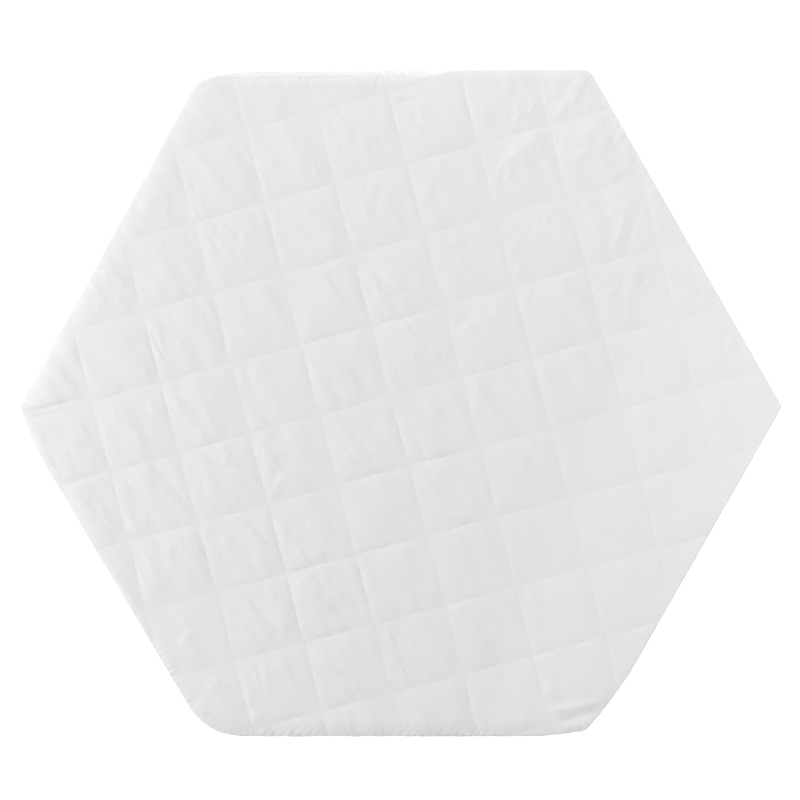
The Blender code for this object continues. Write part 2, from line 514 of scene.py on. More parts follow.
CREASES = (
    Crease("left_square_ridge", -461, 208, -428, 182, 5.9, 1.4),
    Crease("left_square_fold", -444, 166, -423, 147, 5.9, 1.2),
    Crease("left_edge_short", -472, 155, -469, 133, 5.2, 0.7),
    Crease("left_corner_line", -588, -15, -486, 8, 5.5, -2.3),
    Crease("upper_right_foot", 262, 468, 238, 448, 9.0, 1.3),
    Crease("left_corner_fan_1", -533, 99, -508, 61, 5.9, 0.8),
    Crease("left_corner_fan_2", -516, 85, -481, 11, 7.2, 0.8),
    Crease("left_corner_fan_3", -548, 58, -497, 6, 7.2, 0.9),
    Crease("left_stitch_dimple", -440, 14, -425, 20, 5.2, -0.9),
    Crease("left_pad_ridge_1", -389, 3, -382, -25, 6.5, 0.7),
    Crease("left_pad_ridge_2", -411, -45, -404, -67, 5.2, 0.6),
    Crease("left_pad_ridge_3", -401, 55, -393, 39, 5.2, 0.6),
    Crease("left_pad_hook_1", -321, -44, -306, -58, 5.2, 1.0),
    Crease("left_pad_hook_2", -328, -49, -339, -64, 5.2, -0.4),
    Crease("left_lower_ridge", -486, -72, -459, -95, 5.9, 1.3),
    Crease("left_soft_ridge", -372, 211, -354, 191, 5.9, 0.7),
    Crease("crossing_crumple_1", -285, 199, -273, 182, 4.5, 0.7),
    Crease("crossing_crumple_2", -270, 202, -260, 185, 4.5, -0.6),
    Crease("upper_left_edge_ridge", -343, 446, -315, 421, 5.9, 1.2),
    Crease("upper_left_ridge_1", -334, 390, -279, 344, 6.0, 0.9),
    Crease("upper_left_ridge_2", -292, 404, -228, 336, 7.5, 0.6),
    Crease("upper_left_trough", -267, 398, -237, 380, 5.9, -0.9),
    Crease("left_double_1", -284, 274, -256, 260, 4.5, 1.2),
    Crease("left_double_2", -276, 277, -249, 264, 3.9, -1.0),
    Crease("steep_line_bright", -210, 310, -193, 283, 5.9, 1.3),
    Crease("steep_line_streak_1", -179, 293, -152, 247, 6.0, 0.6),
    Crease("steep_line_streak_2", -148, 307, -124, 274, 6.5, 0.9),
    Crease("steep_line_streak_3", -129, 213, -96, 160, 6.0, 0.6),
    Crease("corner_streak_1", -470, 230, -445, 210, 5.2, 1.0),
    Crease("top_edge_ridge", -206, 509, -210, 480, 5.2, 0.7),
    Crease("top_edge_ridge_2", -173, 509, -177, 485, 5.2, 0.6),
    Crease("top_notch", -38, 509, -35, 482, 4.5, -1.0),
    Crease("top_dark_dent", -19, 482, -19, 463, 4.5, -0.9),
    Crease("top_soft_dent", -7, 468, 26, 473, 6.0, -1.4),
    Crease("top_bright_tab", 18, 470, 26, 491, 5.2, 0.7),
    Crease("top_broad_ridge", 37, 480, 28, 413, 7.5, 0.8),
    Crease("second_broad_ridge", 51, 358, 34, 311, 7.0, 0.8),
    Crease("second_thin_ridge", 56, 387, 68, 351, 5.2, 0.7),
    Crease("top_short_trough", -91, 470, -102, 444, 4.5, -0.9),
    Crease("steep_flank_1", -127, 457, -120, 435, 4.5, 0.7),
    Crease("steep_flank_2", -118, 443, -113, 393, 5.2, 0.6),
    Crease("centre_upper_band", -37, 358, -59, 274, 7.0, 0.8),
    Crease("centre_upper_shade", -24, 346, -41, 299, 6.0, -0.5),
    Crease("centre_upper_thin", -26, 307, 3, 279, 4.5, 1.2),
    Crease("crossing_crumple_3", 100, 383, 118, 416, 5.2, -1.0),
    Crease("crossing_crumple_4", 109, 380, 125, 402, 4.5, 0.7),
    Crease("second_row_long", 229, 430, 152, 366, 12.0, 1.9),
    Crease("second_row_under", 238, 398, 180, 346, 11.0, -0.2),
    Crease("top_right_short_1", 175, 468, 170, 437, 5.9, -0.7),
    Crease("top_right_short_2", 186, 468, 181, 440, 5.9, 0.7),
    Crease("top_right_short_3", 136, 470, 128, 432, 6.5, 0.7),
    Crease("upper_right_ridge", 284, 512, 258, 462, 10.0, 1.9),
    Crease("upper_right_trough", 297, 503, 275, 460, 7.0, -0.7),
    Crease("right_upper_ridge", 306, 448, 276, 402, 7.5, 0.7),
    Crease("right_upper_short", 275, 391, 298, 385, 5.2, 1.0),
    Crease("right_edge_crinkle_1", 362, 383, 322, 344, 5.0, 0.7),
    Crease("right_edge_crinkle_2", 371, 369, 336, 336, 5.0, -0.5),
    Crease("right_square_upper", 358, 326, 345, 296, 6.5, 0.9),
    Crease("right_square_ridge", 348, 290, 333, 241, 6.0, 1.3),
    Crease("right_square_trough", 367, 285, 353, 232, 6.0, -0.9),
    Crease("right_third_ridge_1", 373, 221, 359, 188, 7.2, 1.0),
    Crease("right_third_trough", 351, 197, 341, 166, 6.5, -0.7),
    Crease("right_third_ridge_2", 361, 178, 348, 127, 6.0, 0.8),
    Crease("right_third_shade", 380, 196, 375, 152, 6.5, -0.7),
    Crease("right_edge_ridge", 449, 230, 439, 197, 6.5, 0.9),
    Crease("right_edge_trough", 470, 183, 456, 142, 5.2, -0.9),
    Crease("right_far_trough", 511, 117, 502, 75, 5.2, -0.9),
    Crease("right_far_ridge", 524, 121, 514, 83, 5.9, 0.7),
    Crease("right_far_trough_2", 533, 102, 527, 80, 4.5, -0.6),
    Crease("right_middle_soft", 384, 77, 377, 41, 5.9, -0.6),
    Crease("left_bottom_pair_1", -478, -156, -431, -189, 5.2, 1.3),
    Crease("left_bottom_pair_2", -473, -172, -437, -202, 5.2, 1.2),
    Crease("left_bottom_soft", -412, -110, -384, -135, 6.5, 1.0),
    Crease("left_bottom_strong", -379, -131, -325, -175, 7.2, 1.7),
    Crease("left_bottom_second", -306, -131, -268, -166, 7.2, 1.4),
    Crease("left_bottom_trough", -300, -94, -262, -105, 7.2, -1.4),
    Crease("left_bottom_spot", -276, -81, -267, -100, 5.9, 1.0),
    Crease("lower_steep_bright", -215, -67, -204, -108, 6.5, 1.2),
    Crease("lower_cross_ridge", -179, -110, -204, -147, 6.5, 1.3),
    Crease("lower_diagonal_1", -201, -183, -177, -207, 5.9, 1.3),
    Crease("lower_diagonal_2", -237, -200, -210, -221, 5.9, 1.2),
    Crease("lower_left_trough", -412, -232, -397, -257, 5.9, -0.6),
    Crease("lower_left_crumple_1", -403, -92, -390, -106, 4.5, 0.7),
    Crease("lower_left_crumple_2", -387, -91, -376, -106, 4.5, -0.6),
    Crease("base_arc_1", -162, -279, -137, -307, 7.2, 1.2),
    Crease("base_arc_2", -138, -305, -105, -321, 7.2, 0.9),
    Crease("base_arc_3", -116, -293, -93, -313, 5.9, 0.9),
    Crease("base_soft_ridge", -203, -335, -177, -357, 6.5, 1.2),
    Crease("base_low_ridge", -134, -394, -93, -424, 6.5, 1.3),
    Crease("base_low_trough", -129, -387, -98, -408, 5.2, -0.9),
    Crease("base_steep_bright", -242, -440, -235, -474, 5.9, 1.3),
    Crease("base_dark_dent", -245, -473, -235, -488, 6.5, -1.7),
    Crease("base_bright_tip", -232, -482, -224, -499, 5.2, 1.2),
    Crease("base_corner_soft", -300, -449, -284, -430, 6.0, 0.8),
    Crease("base_corner_bright", -318, -468, -304, -487, 6.5, 1.2),
    Crease("base_left_diagonal", -342, -376, -329, -355, 5.9, 0.9),
    Crease("base_middle_bright", 49, -211, 60, -235, 5.9, 0.9),
    Crease("base_middle_curl", -26, -338, -13, -365, 5.9, 1.0),
    Crease("base_middle_low", -19, -394, -10, -426, 5.9, 0.9),
    Crease("base_middle_shade", -12, -366, -1, -393, 5.9, -0.7),
    Crease("base_stitch_bright", 76, -329, 100, -313, 5.9, 1.0),
    Crease("base_right_bright", 195, -296, 212, -313, 5.9, 1.0),
    Crease("base_right_soft", 201, -308, 259, -349, 6.0, 0.9),
    Crease("base_right_spot", 209, -394, 223, -407, 5.9, 0.9),
    Crease("base_right_ridge", 228, -437, 242, -463, 7.2, 1.0),
    Crease("base_crumple", 103, -401, 112, -426, 4.5, -0.7),
    Crease("corner_fold_1", 229, -479, 314, -466, 5.2, 1.9),
    Crease("corner_fold_2", 244, -499, 300, -482, 4.5, -2.0),
    Crease("corner_fold_3", 250, -509, 294, -499, 3.9, 1.6),
    Crease("lower_right_soft", 380, -131, 439, -163, 6.0, 0.8),
    Crease("middle_curl_1", -53, 207, -40, 178, 5.5, 1.0),
    Crease("middle_curl_2", -43, 180, -28, 158, 5.5, 1.0),
    Crease("middle_curl_3", -23, 202, 4, 174, 5.5, 1.1),
    Crease("middle_pit", -49, 192, -37, 188, 5.5, -0.5),
    Crease("middle_ridge", 40, 5, 62, -22, 5.2, 1.3),
    Crease("middle_trough", 26, 42, 51, 8, 6.0, -0.5),
    Crease("middle_short", 18, 81, 21, 62, 5.0, 0.5),
    Crease("middle_left", -127, 27, -99, -6, 6.5, 1.2),
    Crease("middle_right", 92, 111, 121, 130, 6.5, 1.3),
    Crease("middle_right_lump", 79, 153, 92, 127, 6.5, 1.0),
    Crease("middle_right_long", 101, 34, 157, -6, 8.0, 0.6),
    Crease("stitch_hatch_1", 3, 125, 12, 113, 3.4, 0.7),
    Crease("stitch_hatch_2", 10, 128, 20, 114, 3.4, -0.6),
    Crease("stitch_hatch_3", 18, 128, 28, 116, 3.4, 0.7),
    Crease("middle_lower_1", -109, -58, -73, -99, 6.5, 1.3),
    Crease("middle_lower_2", -77, -69, -48, -88, 5.9, 0.9),
)


@dataclass(frozen=True)
class Valley:
    """A soft valley across the pad, where the filling gives between its middle and its lower right."""

    x0: float = 0.368
    y0: float = 0.100
    x1: float = 0.135
    y1: float = -0.480
    depth: float = 0.0060
    reach: float = 0.110
    softness: float = 0.018
    fades: float = 0.180

    def heights(self, xy: np.ndarray) -> np.ndarray:
        """The valley's height, which is below zero inside it.

        Args:
            xy: Rows of x and y.

        Returns:
            A height for each row.
        """
        start = np.array([self.x0, self.y0])
        run = np.array([self.x1, self.y1]) - start
        length = float(np.linalg.norm(run))
        run = run / length
        along = (xy - start) @ run
        across = (xy - start) @ [-run[1], run[0]]
        beyond = np.maximum(0.0, np.maximum(-along, along - length))
        away = np.sqrt(across**2 + self.softness**2) - self.softness
        return -self.depth * np.exp(-away / self.reach) * np.exp(-((beyond / self.fades) ** 2))


@dataclass(frozen=True)
class Wrinkles:
    """Small soft wrinkles of the quilted cloth, in patches, strongest beside the steep stitch lines."""

    main_angle: float = -54.0
    right_angle: float = 58.0
    width: float = 0.0085
    lengthened: float = 2.9
    height: float = 0.0018
    patch: float = 0.046
    patch_level: float = 0.58
    patch_swing: float = 0.60
    patch_least: float = 0.22
    warp: float = 0.0075
    warp_size: float = 0.05
    beside_least: float = 0.45
    beside_reach: float = 0.38
    calm: float = 0.65
    calm_from: tuple[float, float] = (0.10, -0.12)
    calm_over: tuple[float, float] = (0.25, 0.15)
    right_from: tuple[float, float] = (0.05, 0.08)
    right_over: tuple[float, float] = (0.12, 0.10)
    broad_share: float = 0.65
    sharp_share: float = 0.5
    sharp_size: float = 1.25
    sharp_depth: float = 2.2
    sharp_softness: float = 0.03
    sharp_shift: float = 0.31
    trough_share: float = 0.55
    rounding: float = 1.3

    def right_part(self, xy: np.ndarray) -> np.ndarray:
        """How much each place belongs to the upper right, where the wrinkles run the other way."""
        (x, y), (x_over, y_over) = self.right_from, self.right_over
        return ramp(xy[:, 0], x, x_over) * ramp(xy[:, 1], y, y_over)

    def strength(self, xy: np.ndarray, steep_share: np.ndarray) -> np.ndarray:
        """How strong the wrinkles are. They fade towards the calm lower right.

        Args:
            xy: Rows of x and y.
            steep_share: How far across its square each place is from the steep line on its left.

        Returns:
            A strength from 0 to 1 for each row.
        """
        wave = smooth_noise(xy, self.patch, Seed.WRINKLE_PATCHES)
        patches = np.clip(self.patch_level + self.patch_swing * wave, self.patch_least, 1.0)
        beside = self.beside_least + (1 - self.beside_least) * np.exp(-steep_share / self.beside_reach)
        (x, y), (x_over, y_over) = self.calm_from, self.calm_over
        lower_right = ramp(xy[:, 0], x, x_over) * ramp(-xy[:, 1], y, y_over)
        return patches * beside * (1 - self.calm * lower_right)

    def pulled(self, xy: np.ndarray, angle: float) -> np.ndarray:
        """Squeezes the plane along one way, so that noise over the result runs that way.

        Args:
            xy: Rows of x and y.
            angle: The way, in degrees from +X towards +Y.

        Returns:
            Rows of the places along and across it.
        """
        turn = math.radians(angle)
        along = xy @ [math.cos(turn), math.sin(turn)] / self.lengthened
        across = xy @ [-math.sin(turn), math.cos(turn)]
        return np.stack([along, across], axis=1)

    def run(self, xy: np.ndarray, angle: float, seed: int) -> np.ndarray:
        """Wrinkles that run one way.

        Args:
            xy: Rows of x and y.
            angle: The way they run, in degrees.
            seed: The first of the four seeds that they take.

        Returns:
            A value from about -1 to 1 for each row.
        """
        bends = [smooth_noise(xy, self.warp_size, seed + i) for i in (0, 1)]
        spot = self.pulled(xy + self.warp * np.stack(bends, axis=1), angle)
        broad = smooth_noise(spot, self.width, seed + 2)
        ridge = smooth_noise(spot + self.sharp_shift, self.width * self.sharp_size, seed + 3)
        sharp = 1 - self.sharp_depth * np.sqrt(ridge**2 + self.sharp_softness)
        return self.broad_share * broad + self.sharp_share * sharp

    def heights(self, xy: np.ndarray, steep_share: np.ndarray) -> np.ndarray:
        """The wrinkles' height.

        Args:
            xy: Rows of x and y.
            steep_share: How far across its square each place is from the steep line on its left.

        Returns:
            A height for each row.
        """
        right = self.right_part(xy)
        both = self.run(xy, self.main_angle, Seed.WRINKLES_MAIN) * (1 - right)
        both += self.run(xy, self.right_angle, Seed.WRINKLES_RIGHT) * right
        raised = np.where(both < 0, self.trough_share * both, both)
        rounded = np.tanh(raised * self.rounding) / self.rounding
        return self.height * rounded * self.strength(xy, steep_share)


class EdgeStyle(NamedTuple):
    """How the edge of the top is drawn on one side of the mattress."""

    name: str
    facing: float
    roll_inset: float
    shoulder: float
    drop: float


EDGES = (
    EdgeStyle("upper_right", 30.0, 0.0004, 0.012, -0.0018),
    EdgeStyle("top", 90.0, 0.0022, 0.012, 0.0026),
    EdgeStyle("upper_left", 150.0, 0.0022, 0.034, 0.0046),
    EdgeStyle("lower_left", 210.0, 0.0014, 0.012, 0.0010),
    EdgeStyle("base", 270.0, 0.0024, 0.026, 0.0034),
    EdgeStyle("lower_right", 330.0, 0.0016, 0.020, -0.0004),
)


def edge_style(facing: np.ndarray) -> tuple[np.ndarray, np.ndarray, np.ndarray]:
    """How the edge is drawn where the outline faces each way, blended between the sides.

    Args:
        facing: Degrees from +X towards +Y.

    Returns:
        The roll's inset, the shoulder's width and its drop.
    """
    ways = [edge.facing for edge in EDGES]
    insets = np.interp(facing, ways, [edge.roll_inset for edge in EDGES], period=360)
    widths = np.interp(facing, ways, [edge.shoulder for edge in EDGES], period=360)
    drops = np.interp(facing, ways, [edge.drop for edge in EDGES], period=360)
    return insets, widths, drops


class Gather(NamedTuple):
    """A stretch of edge where the cloth is gathered into small ripples."""

    name: str
    x: float
    y: float
    span: float
    height: float
    reach: float
    slant: float
    wave: float


GATHERS = (
    Gather("lower_left_side", -0.375, -0.425, 0.060, 0.0007, 0.010, 0.0, 0.0088),
    Gather("lower_left_corner", -0.30, -0.505, 0.060, 0.0005, 0.010, 0.3, 0.0095),
    Gather("base_left", -0.17, -0.515, 0.13, 0.0006, 0.014, 0.9, 0.0125),
    Gather("base_right", 0.05, -0.515, 0.13, 0.0005, 0.013, 0.9, 0.0120),
    Gather("left_corner", -0.575, 0.0, 0.045, 0.0007, 0.020, 0.3, 0.0140),
    Gather("lower_right_corner", 0.30, -0.49, 0.05, 0.0007, 0.016, 0.5, 0.0140),
    Gather("right_upper_side", 0.49, 0.22, 0.07, 0.0005, 0.014, -0.8, 0.0150),
    Gather("right_top_side", 0.36, 0.40, 0.06, 0.0006, 0.022, -0.5, 0.0170),
    Gather("upper_left_side", -0.40, 0.36, 0.17, 0.0004, 0.022, 0.45, 0.0190),
    Gather("left_upper_side", -0.50, 0.16, 0.08, 0.0005, 0.020, 0.45, 0.0140),
    Gather("top_left_side", -0.13, 0.515, 0.15, 0.0006, 0.012, 0.7, 0.0130),
)


def square_chance(rising_number: np.ndarray, steep_number: np.ndarray) -> np.ndarray:
    """A fixed chance value from -1 to 1 for each square, by the numbers of its stitch lines.

    Args:
        rising_number: The number of the rising line before it.
        steep_number: The number of the steep line before it.

    Returns:
        A value for each row.
    """
    rising_step, steep_step, spread = 12.9898, 78.233, 43758.5453
    turned = np.sin(rising_number * rising_step + steep_number * steep_step) * spread
    return 2 * (turned - np.floor(turned)) - 1


@dataclass(frozen=True)
class QuiltSurface:
    """The shape of the quilted top: squares crowned by their filling, sewn channels, swells and creases."""

    outline: SewnOutline = SewnOutline()
    stitch_level: float = 0.0472
    crown_spread: float = 0.16
    groove: float = 0.00036
    groove_reach: float = 0.015
    pinch: float = 0.0020
    pinch_reach: float = 0.17
    pinch_patch: float = 0.05
    lumps: float = 0.0007
    broad_lump: float = 0.026
    broad_lumps: float = 1.3
    fine_lump: float = 0.014
    loosens: float = 1.6
    held: float = 0.2
    rim_share: float = 0.04
    round_shoulder: float = 0.25
    uneven_pinch: float = 0.30
    lean: float = 1.9
    crease_bend: float = 0.9
    crease_waves: float = 2.4
    crease_reach: float = 1.15
    crease_fall: float = 1.6
    lit_side: tuple[float, float] = (0.42, 0.91)
    thread_ripple: float = 0.00009
    thread_wave: float = 0.0105
    thread_reach: float = 0.004
    thread_patch: float = 0.045
    thread_least: float = 0.2
    thread_drift: float = 5.0
    thread_drift_size: float = 0.06
    edge_ripple: float = 0.0003
    edge_reach: float = 0.012
    edge_lumps: tuple[int, int] = (330, 190)
    edge_fine_share: float = 0.6
    gather_drift: float = 2.4
    gather_level: float = 0.65
    gather_swing: float = 0.5
    left_roll: float = 0.0010
    right_rise: float = 0.0010
    roll_reach: float = 0.055
    left_from: float = 0.15
    left_over: float = 0.20
    right_from: float = 0.30
    right_over: float = 0.15
    whole_length: float = 3.42

    def pillow(self, share: np.ndarray) -> np.ndarray:
        """The height of a filled square across it.

        Args:
            share: How far across the square each place is, from 0 to 1.

        Returns:
            A share for each row, 0 at a stitch line and about 1 half-way over.
        """
        near = np.minimum(share, 1 - share)
        sunk = self.groove * (1 - np.exp(-near / self.groove_reach))
        drawn = self.pinch * (1 - np.exp(-near / self.pinch_reach))
        return (sunk + drawn) / self.crown()

    def crown(self) -> float:
        """How far the middle of a square stands above its stitch lines."""
        return self.groove + self.pinch

    def heights(self, xy: np.ndarray, inset: np.ndarray, place: np.ndarray) -> np.ndarray:
        """The top's height.

        Args:
            xy: Rows of x and y.
            inset: How far in from the outermost edge each place is.
            place: The numbered place of the outline nearest to each row.

        Returns:
            The height above the base for each row.
        """
        spot = wandered(xy)
        along = self.outline.share_round(place)
        roll_inset, width, drop = edge_style(self.outline.facing(place))
        inwards = np.maximum(inset - roll_inset, 0)
        rise = np.clip(inwards / width, 0, 1)
        curve = 1 - (1 - rise) ** 2
        shoulder = (1 - self.round_shoulder) * curve + self.round_shoulder * np.sqrt(curve)
        rising_number, rising_share = RISING.square(spot)
        steep_number, steep_share = STEEP.square(spot)
        drawn_in = 1 + self.uneven_pinch * smooth_noise(xy, self.pinch_patch, Seed.PINCH)
        full = self.pillow(rising_share) * self.pillow(steep_share) * drawn_in
        crown = self.crown() * (1 + self.crown_spread * square_chance(rising_number, steep_number)) * full
        swell = np.zeros(len(xy))
        for piece in SWELLS:
            away = (xy[:, 0] - piece.x) ** 2 + (xy[:, 1] - piece.y) ** 2
            swell += piece.height * np.exp(-away / piece.radius**2)
        swell += Valley().heights(xy) + self.edge_roll(xy, inset)
        loose = np.clip(full * self.loosens, 0, 1)
        pulled = Wrinkles().pulled(xy, Wrinkles.main_angle)
        uneven = self.broad_lumps * smooth_noise(pulled, self.broad_lump, Seed.LUMPS_BROAD)
        uneven += smooth_noise(pulled, self.fine_lump, Seed.LUMPS_FINE)
        lumps = self.lumps * uneven * loose
        creased = self.creases(xy) + Wrinkles().heights(xy, steep_share)
        creased = creased * (self.held + (1 - self.held) * loose)
        drawn = self.thread_ripples(xy, rising_share, steep_share)
        level = self.stitch_level + swell - drop * (1 - shoulder)
        faded = np.sqrt(shoulder + self.rim_share)
        return level + (crown + lumps + creased + drawn) * faded + self.edge_ripples(xy, inwards, along)

    def edge_roll(self, xy: np.ndarray, inset: np.ndarray) -> np.ndarray:
        """How the top rolls down towards its left edges and lifts a little towards its right ones.

        Args:
            xy: Rows of x and y.
            inset: How far in from the outermost edge each place is.

        Returns:
            A height for each row.
        """
        left = ramp(-xy[:, 0], self.left_from, self.left_over)
        right = ramp(xy[:, 0], self.right_from, self.right_over)
        return (self.right_rise * right - self.left_roll * left) * np.exp(-inset / self.roll_reach)

    def creases(self, xy: np.ndarray) -> np.ndarray:
        """The height of the listed creases. A ridge leans, steeper on its lit side.

        Args:
            xy: Rows of x and y.

        Returns:
            A height for each row.
        """
        total = np.zeros(len(xy))
        for crease in CREASES:
            start = np.array([crease.x0, crease.y0]) / MILLIMETRES
            run = np.array([crease.x1, crease.y1]) / MILLIMETRES - start
            length = float(np.linalg.norm(run))
            run = run / length
            along = (xy - start) @ run / length * 2 - 1
            across = (xy - start) @ [-run[1], run[0]] * MILLIMETRES
            bend = across + self.crease_bend * np.sin(along * self.crease_waves + crease.x0)
            fade = np.clip(1 - np.abs(along / self.crease_reach) ** 3, 0, 1)
            shaded = bend * float(run @ self.lit_side) < 0
            width = np.where(shaded & (crease.height > 0), crease.width * self.lean, crease.width)
            total += crease.height / MILLIMETRES * fade * np.exp(-((bend / width) ** 2) * self.crease_fall)
        return total

    def thread_ripples(self, xy: np.ndarray, rising_share: np.ndarray, steep_share: np.ndarray) -> np.ndarray:
        """Small ripples where the thread draws the cloth up along the stitch lines.

        Args:
            xy: Rows of x and y.
            rising_share: How far each place is across its square from the rising line above it.
            steep_share: How far each place is across its square from the steep line on its left.

        Returns:
            A height for each row.
        """
        patches = smooth_noise(xy, self.thread_patch, Seed.THREAD_PATCHES)
        patches = np.clip(patches + self.thread_least, 0, 1)
        total = np.zeros(len(xy))
        for lines, share in ((RISING, rising_share), (STEEP, steep_share)):
            angle = math.radians(lines.runs)
            along = xy @ [math.cos(angle), math.sin(angle)]
            beside = np.minimum(share, 1 - share) * lines.pitch / self.thread_reach
            slow = smooth_noise(xy, self.thread_drift_size, Seed.THREAD_DRIFT + lines.first)
            wave = np.sin(2 * np.pi * along / self.thread_wave + self.thread_drift * slow)
            total += wave * patches * beside * np.exp(1 - beside)
        return total * self.thread_ripple

    def edge_ripples(self, xy: np.ndarray, inwards: np.ndarray, along: np.ndarray) -> np.ndarray:
        """Small ripples that run in from the edge seam, stronger where the cloth is gathered.

        Args:
            xy: Rows of x and y.
            inwards: How far in from the roll each place is.
            along: The share of the way round of each place.

        Returns:
            A height for each row.
        """
        fine = ring_noise(along, self.edge_lumps[0], Seed.EDGE_BROAD)
        fine = fine + self.edge_fine_share * ring_noise(along, self.edge_lumps[1], Seed.EDGE_FINE)
        total = self.edge_ripple * fine * np.exp(-inwards / self.edge_reach)
        for gather in GATHERS:
            away = ((xy[:, 0] - gather.x) ** 2 + (xy[:, 1] - gather.y) ** 2) / gather.span**2
            strength = gather.height * np.exp(-away) * np.exp(-inwards / gather.reach)
            slanted = along - gather.slant * inwards / self.whole_length
            waves = round(self.whole_length / gather.wave)
            drift = self.gather_drift * ring_noise(slanted, waves // 3, Seed.GATHER_DRIFT)
            swells = self.gather_swing * ring_noise(slanted, waves // 2, Seed.GATHER_SWELLS)
            swells = self.gather_level + swells
            total += strength * swells * np.sin(2 * np.pi * waves * slanted + drift)
        return total


Socket = bpy.types.NodeSocket


class NodeBoard:
    """Adds nodes to one tree and joins them."""

    def __init__(self, tree: bpy.types.NodeTree) -> None:
        """Takes the tree to work on."""
        self.tree = tree

    def add(self, kind: str, values: dict | None = None, **settings: str) -> bpy.types.Node:
        """Adds a node.

        Args:
            kind: Blender's name for the node's type.
            values: The values of its inputs, by name or number.
            settings: The node's own settings, made before its inputs are filled.

        Returns:
            The node.
        """
        node = self.tree.nodes.new(kind)
        for name, setting in settings.items():
            setattr(node, name, setting)
        for name, value in (values or {}).items():
            node.inputs[name].default_value = value
        return node

    def join(self, *pairs: tuple[Socket, Socket]) -> None:
        """Links each pair of an output and an input."""
        for output, into in pairs:
            self.tree.links.new(output, into)

    def mixed_colours(self, share: Socket, low: tuple[float, ...], high: tuple[float, ...]) -> Socket:
        """Mixes two colours.

        Args:
            share: The output that says how much of the second colour shows.
            low: The first colour.
            high: The second colour.

        Returns:
            The mixed colour's output.
        """
        first, second, result = 6, 7, 2
        mix = self.add("ShaderNodeMix", {first: (*low, 1.0), second: (*high, 1.0)}, data_type="RGBA")
        self.join((share, mix.inputs["Factor"]))
        return mix.outputs[result]

    def mixed_floats(self, share: Socket, low: Socket, high: Socket) -> Socket:
        """Mixes two values.

        Args:
            share: The output that says how much of the second value counts.
            low: The first value's output.
            high: The second value's output.

        Returns:
            The mixed value's output.
        """
        factor, first, second = 0, 2, 3
        mix = self.add("ShaderNodeMix", data_type="FLOAT")
        self.join((share, mix.inputs[factor]), (low, mix.inputs[first]), (high, mix.inputs[second]))
        return mix.outputs[0]

    def combined(self, operation: str, one: Socket, other: Socket) -> Socket:
        """Combines two values.

        Args:
            operation: Blender's name for what is done with them.
            one: The first value's output.
            other: The second value's output.

        Returns:
            The result's output.
        """
        node = self.add("ShaderNodeMath", operation=operation)
        self.join((one, node.inputs[0]), (other, node.inputs[1]))
        return node.outputs["Value"]

    def bump(self, height: Socket, depth: float, strength: float, under: Socket | None = None) -> Socket:
        """Adds a bump.

        Args:
            height: The output that gives its height.
            depth: Its depth in metres.
            strength: How strongly it tells, from 0 to 1.
            under: The normal of the bump below, if there is one.

        Returns:
            The normal's output.
        """
        node = self.add("ShaderNodeBump", {"Distance": depth, "Strength": strength})
        self.join((height, node.inputs["Height"]))
        if under:
            self.join((under, node.inputs["Normal"]))
        return node.outputs["Normal"]


def wave_scale(pitch: float) -> float:
    """The scale of a Wave Texture whose bands are this far apart."""
    radians_per_unit = 20
    return 2 * math.pi / (radians_per_unit * pitch)


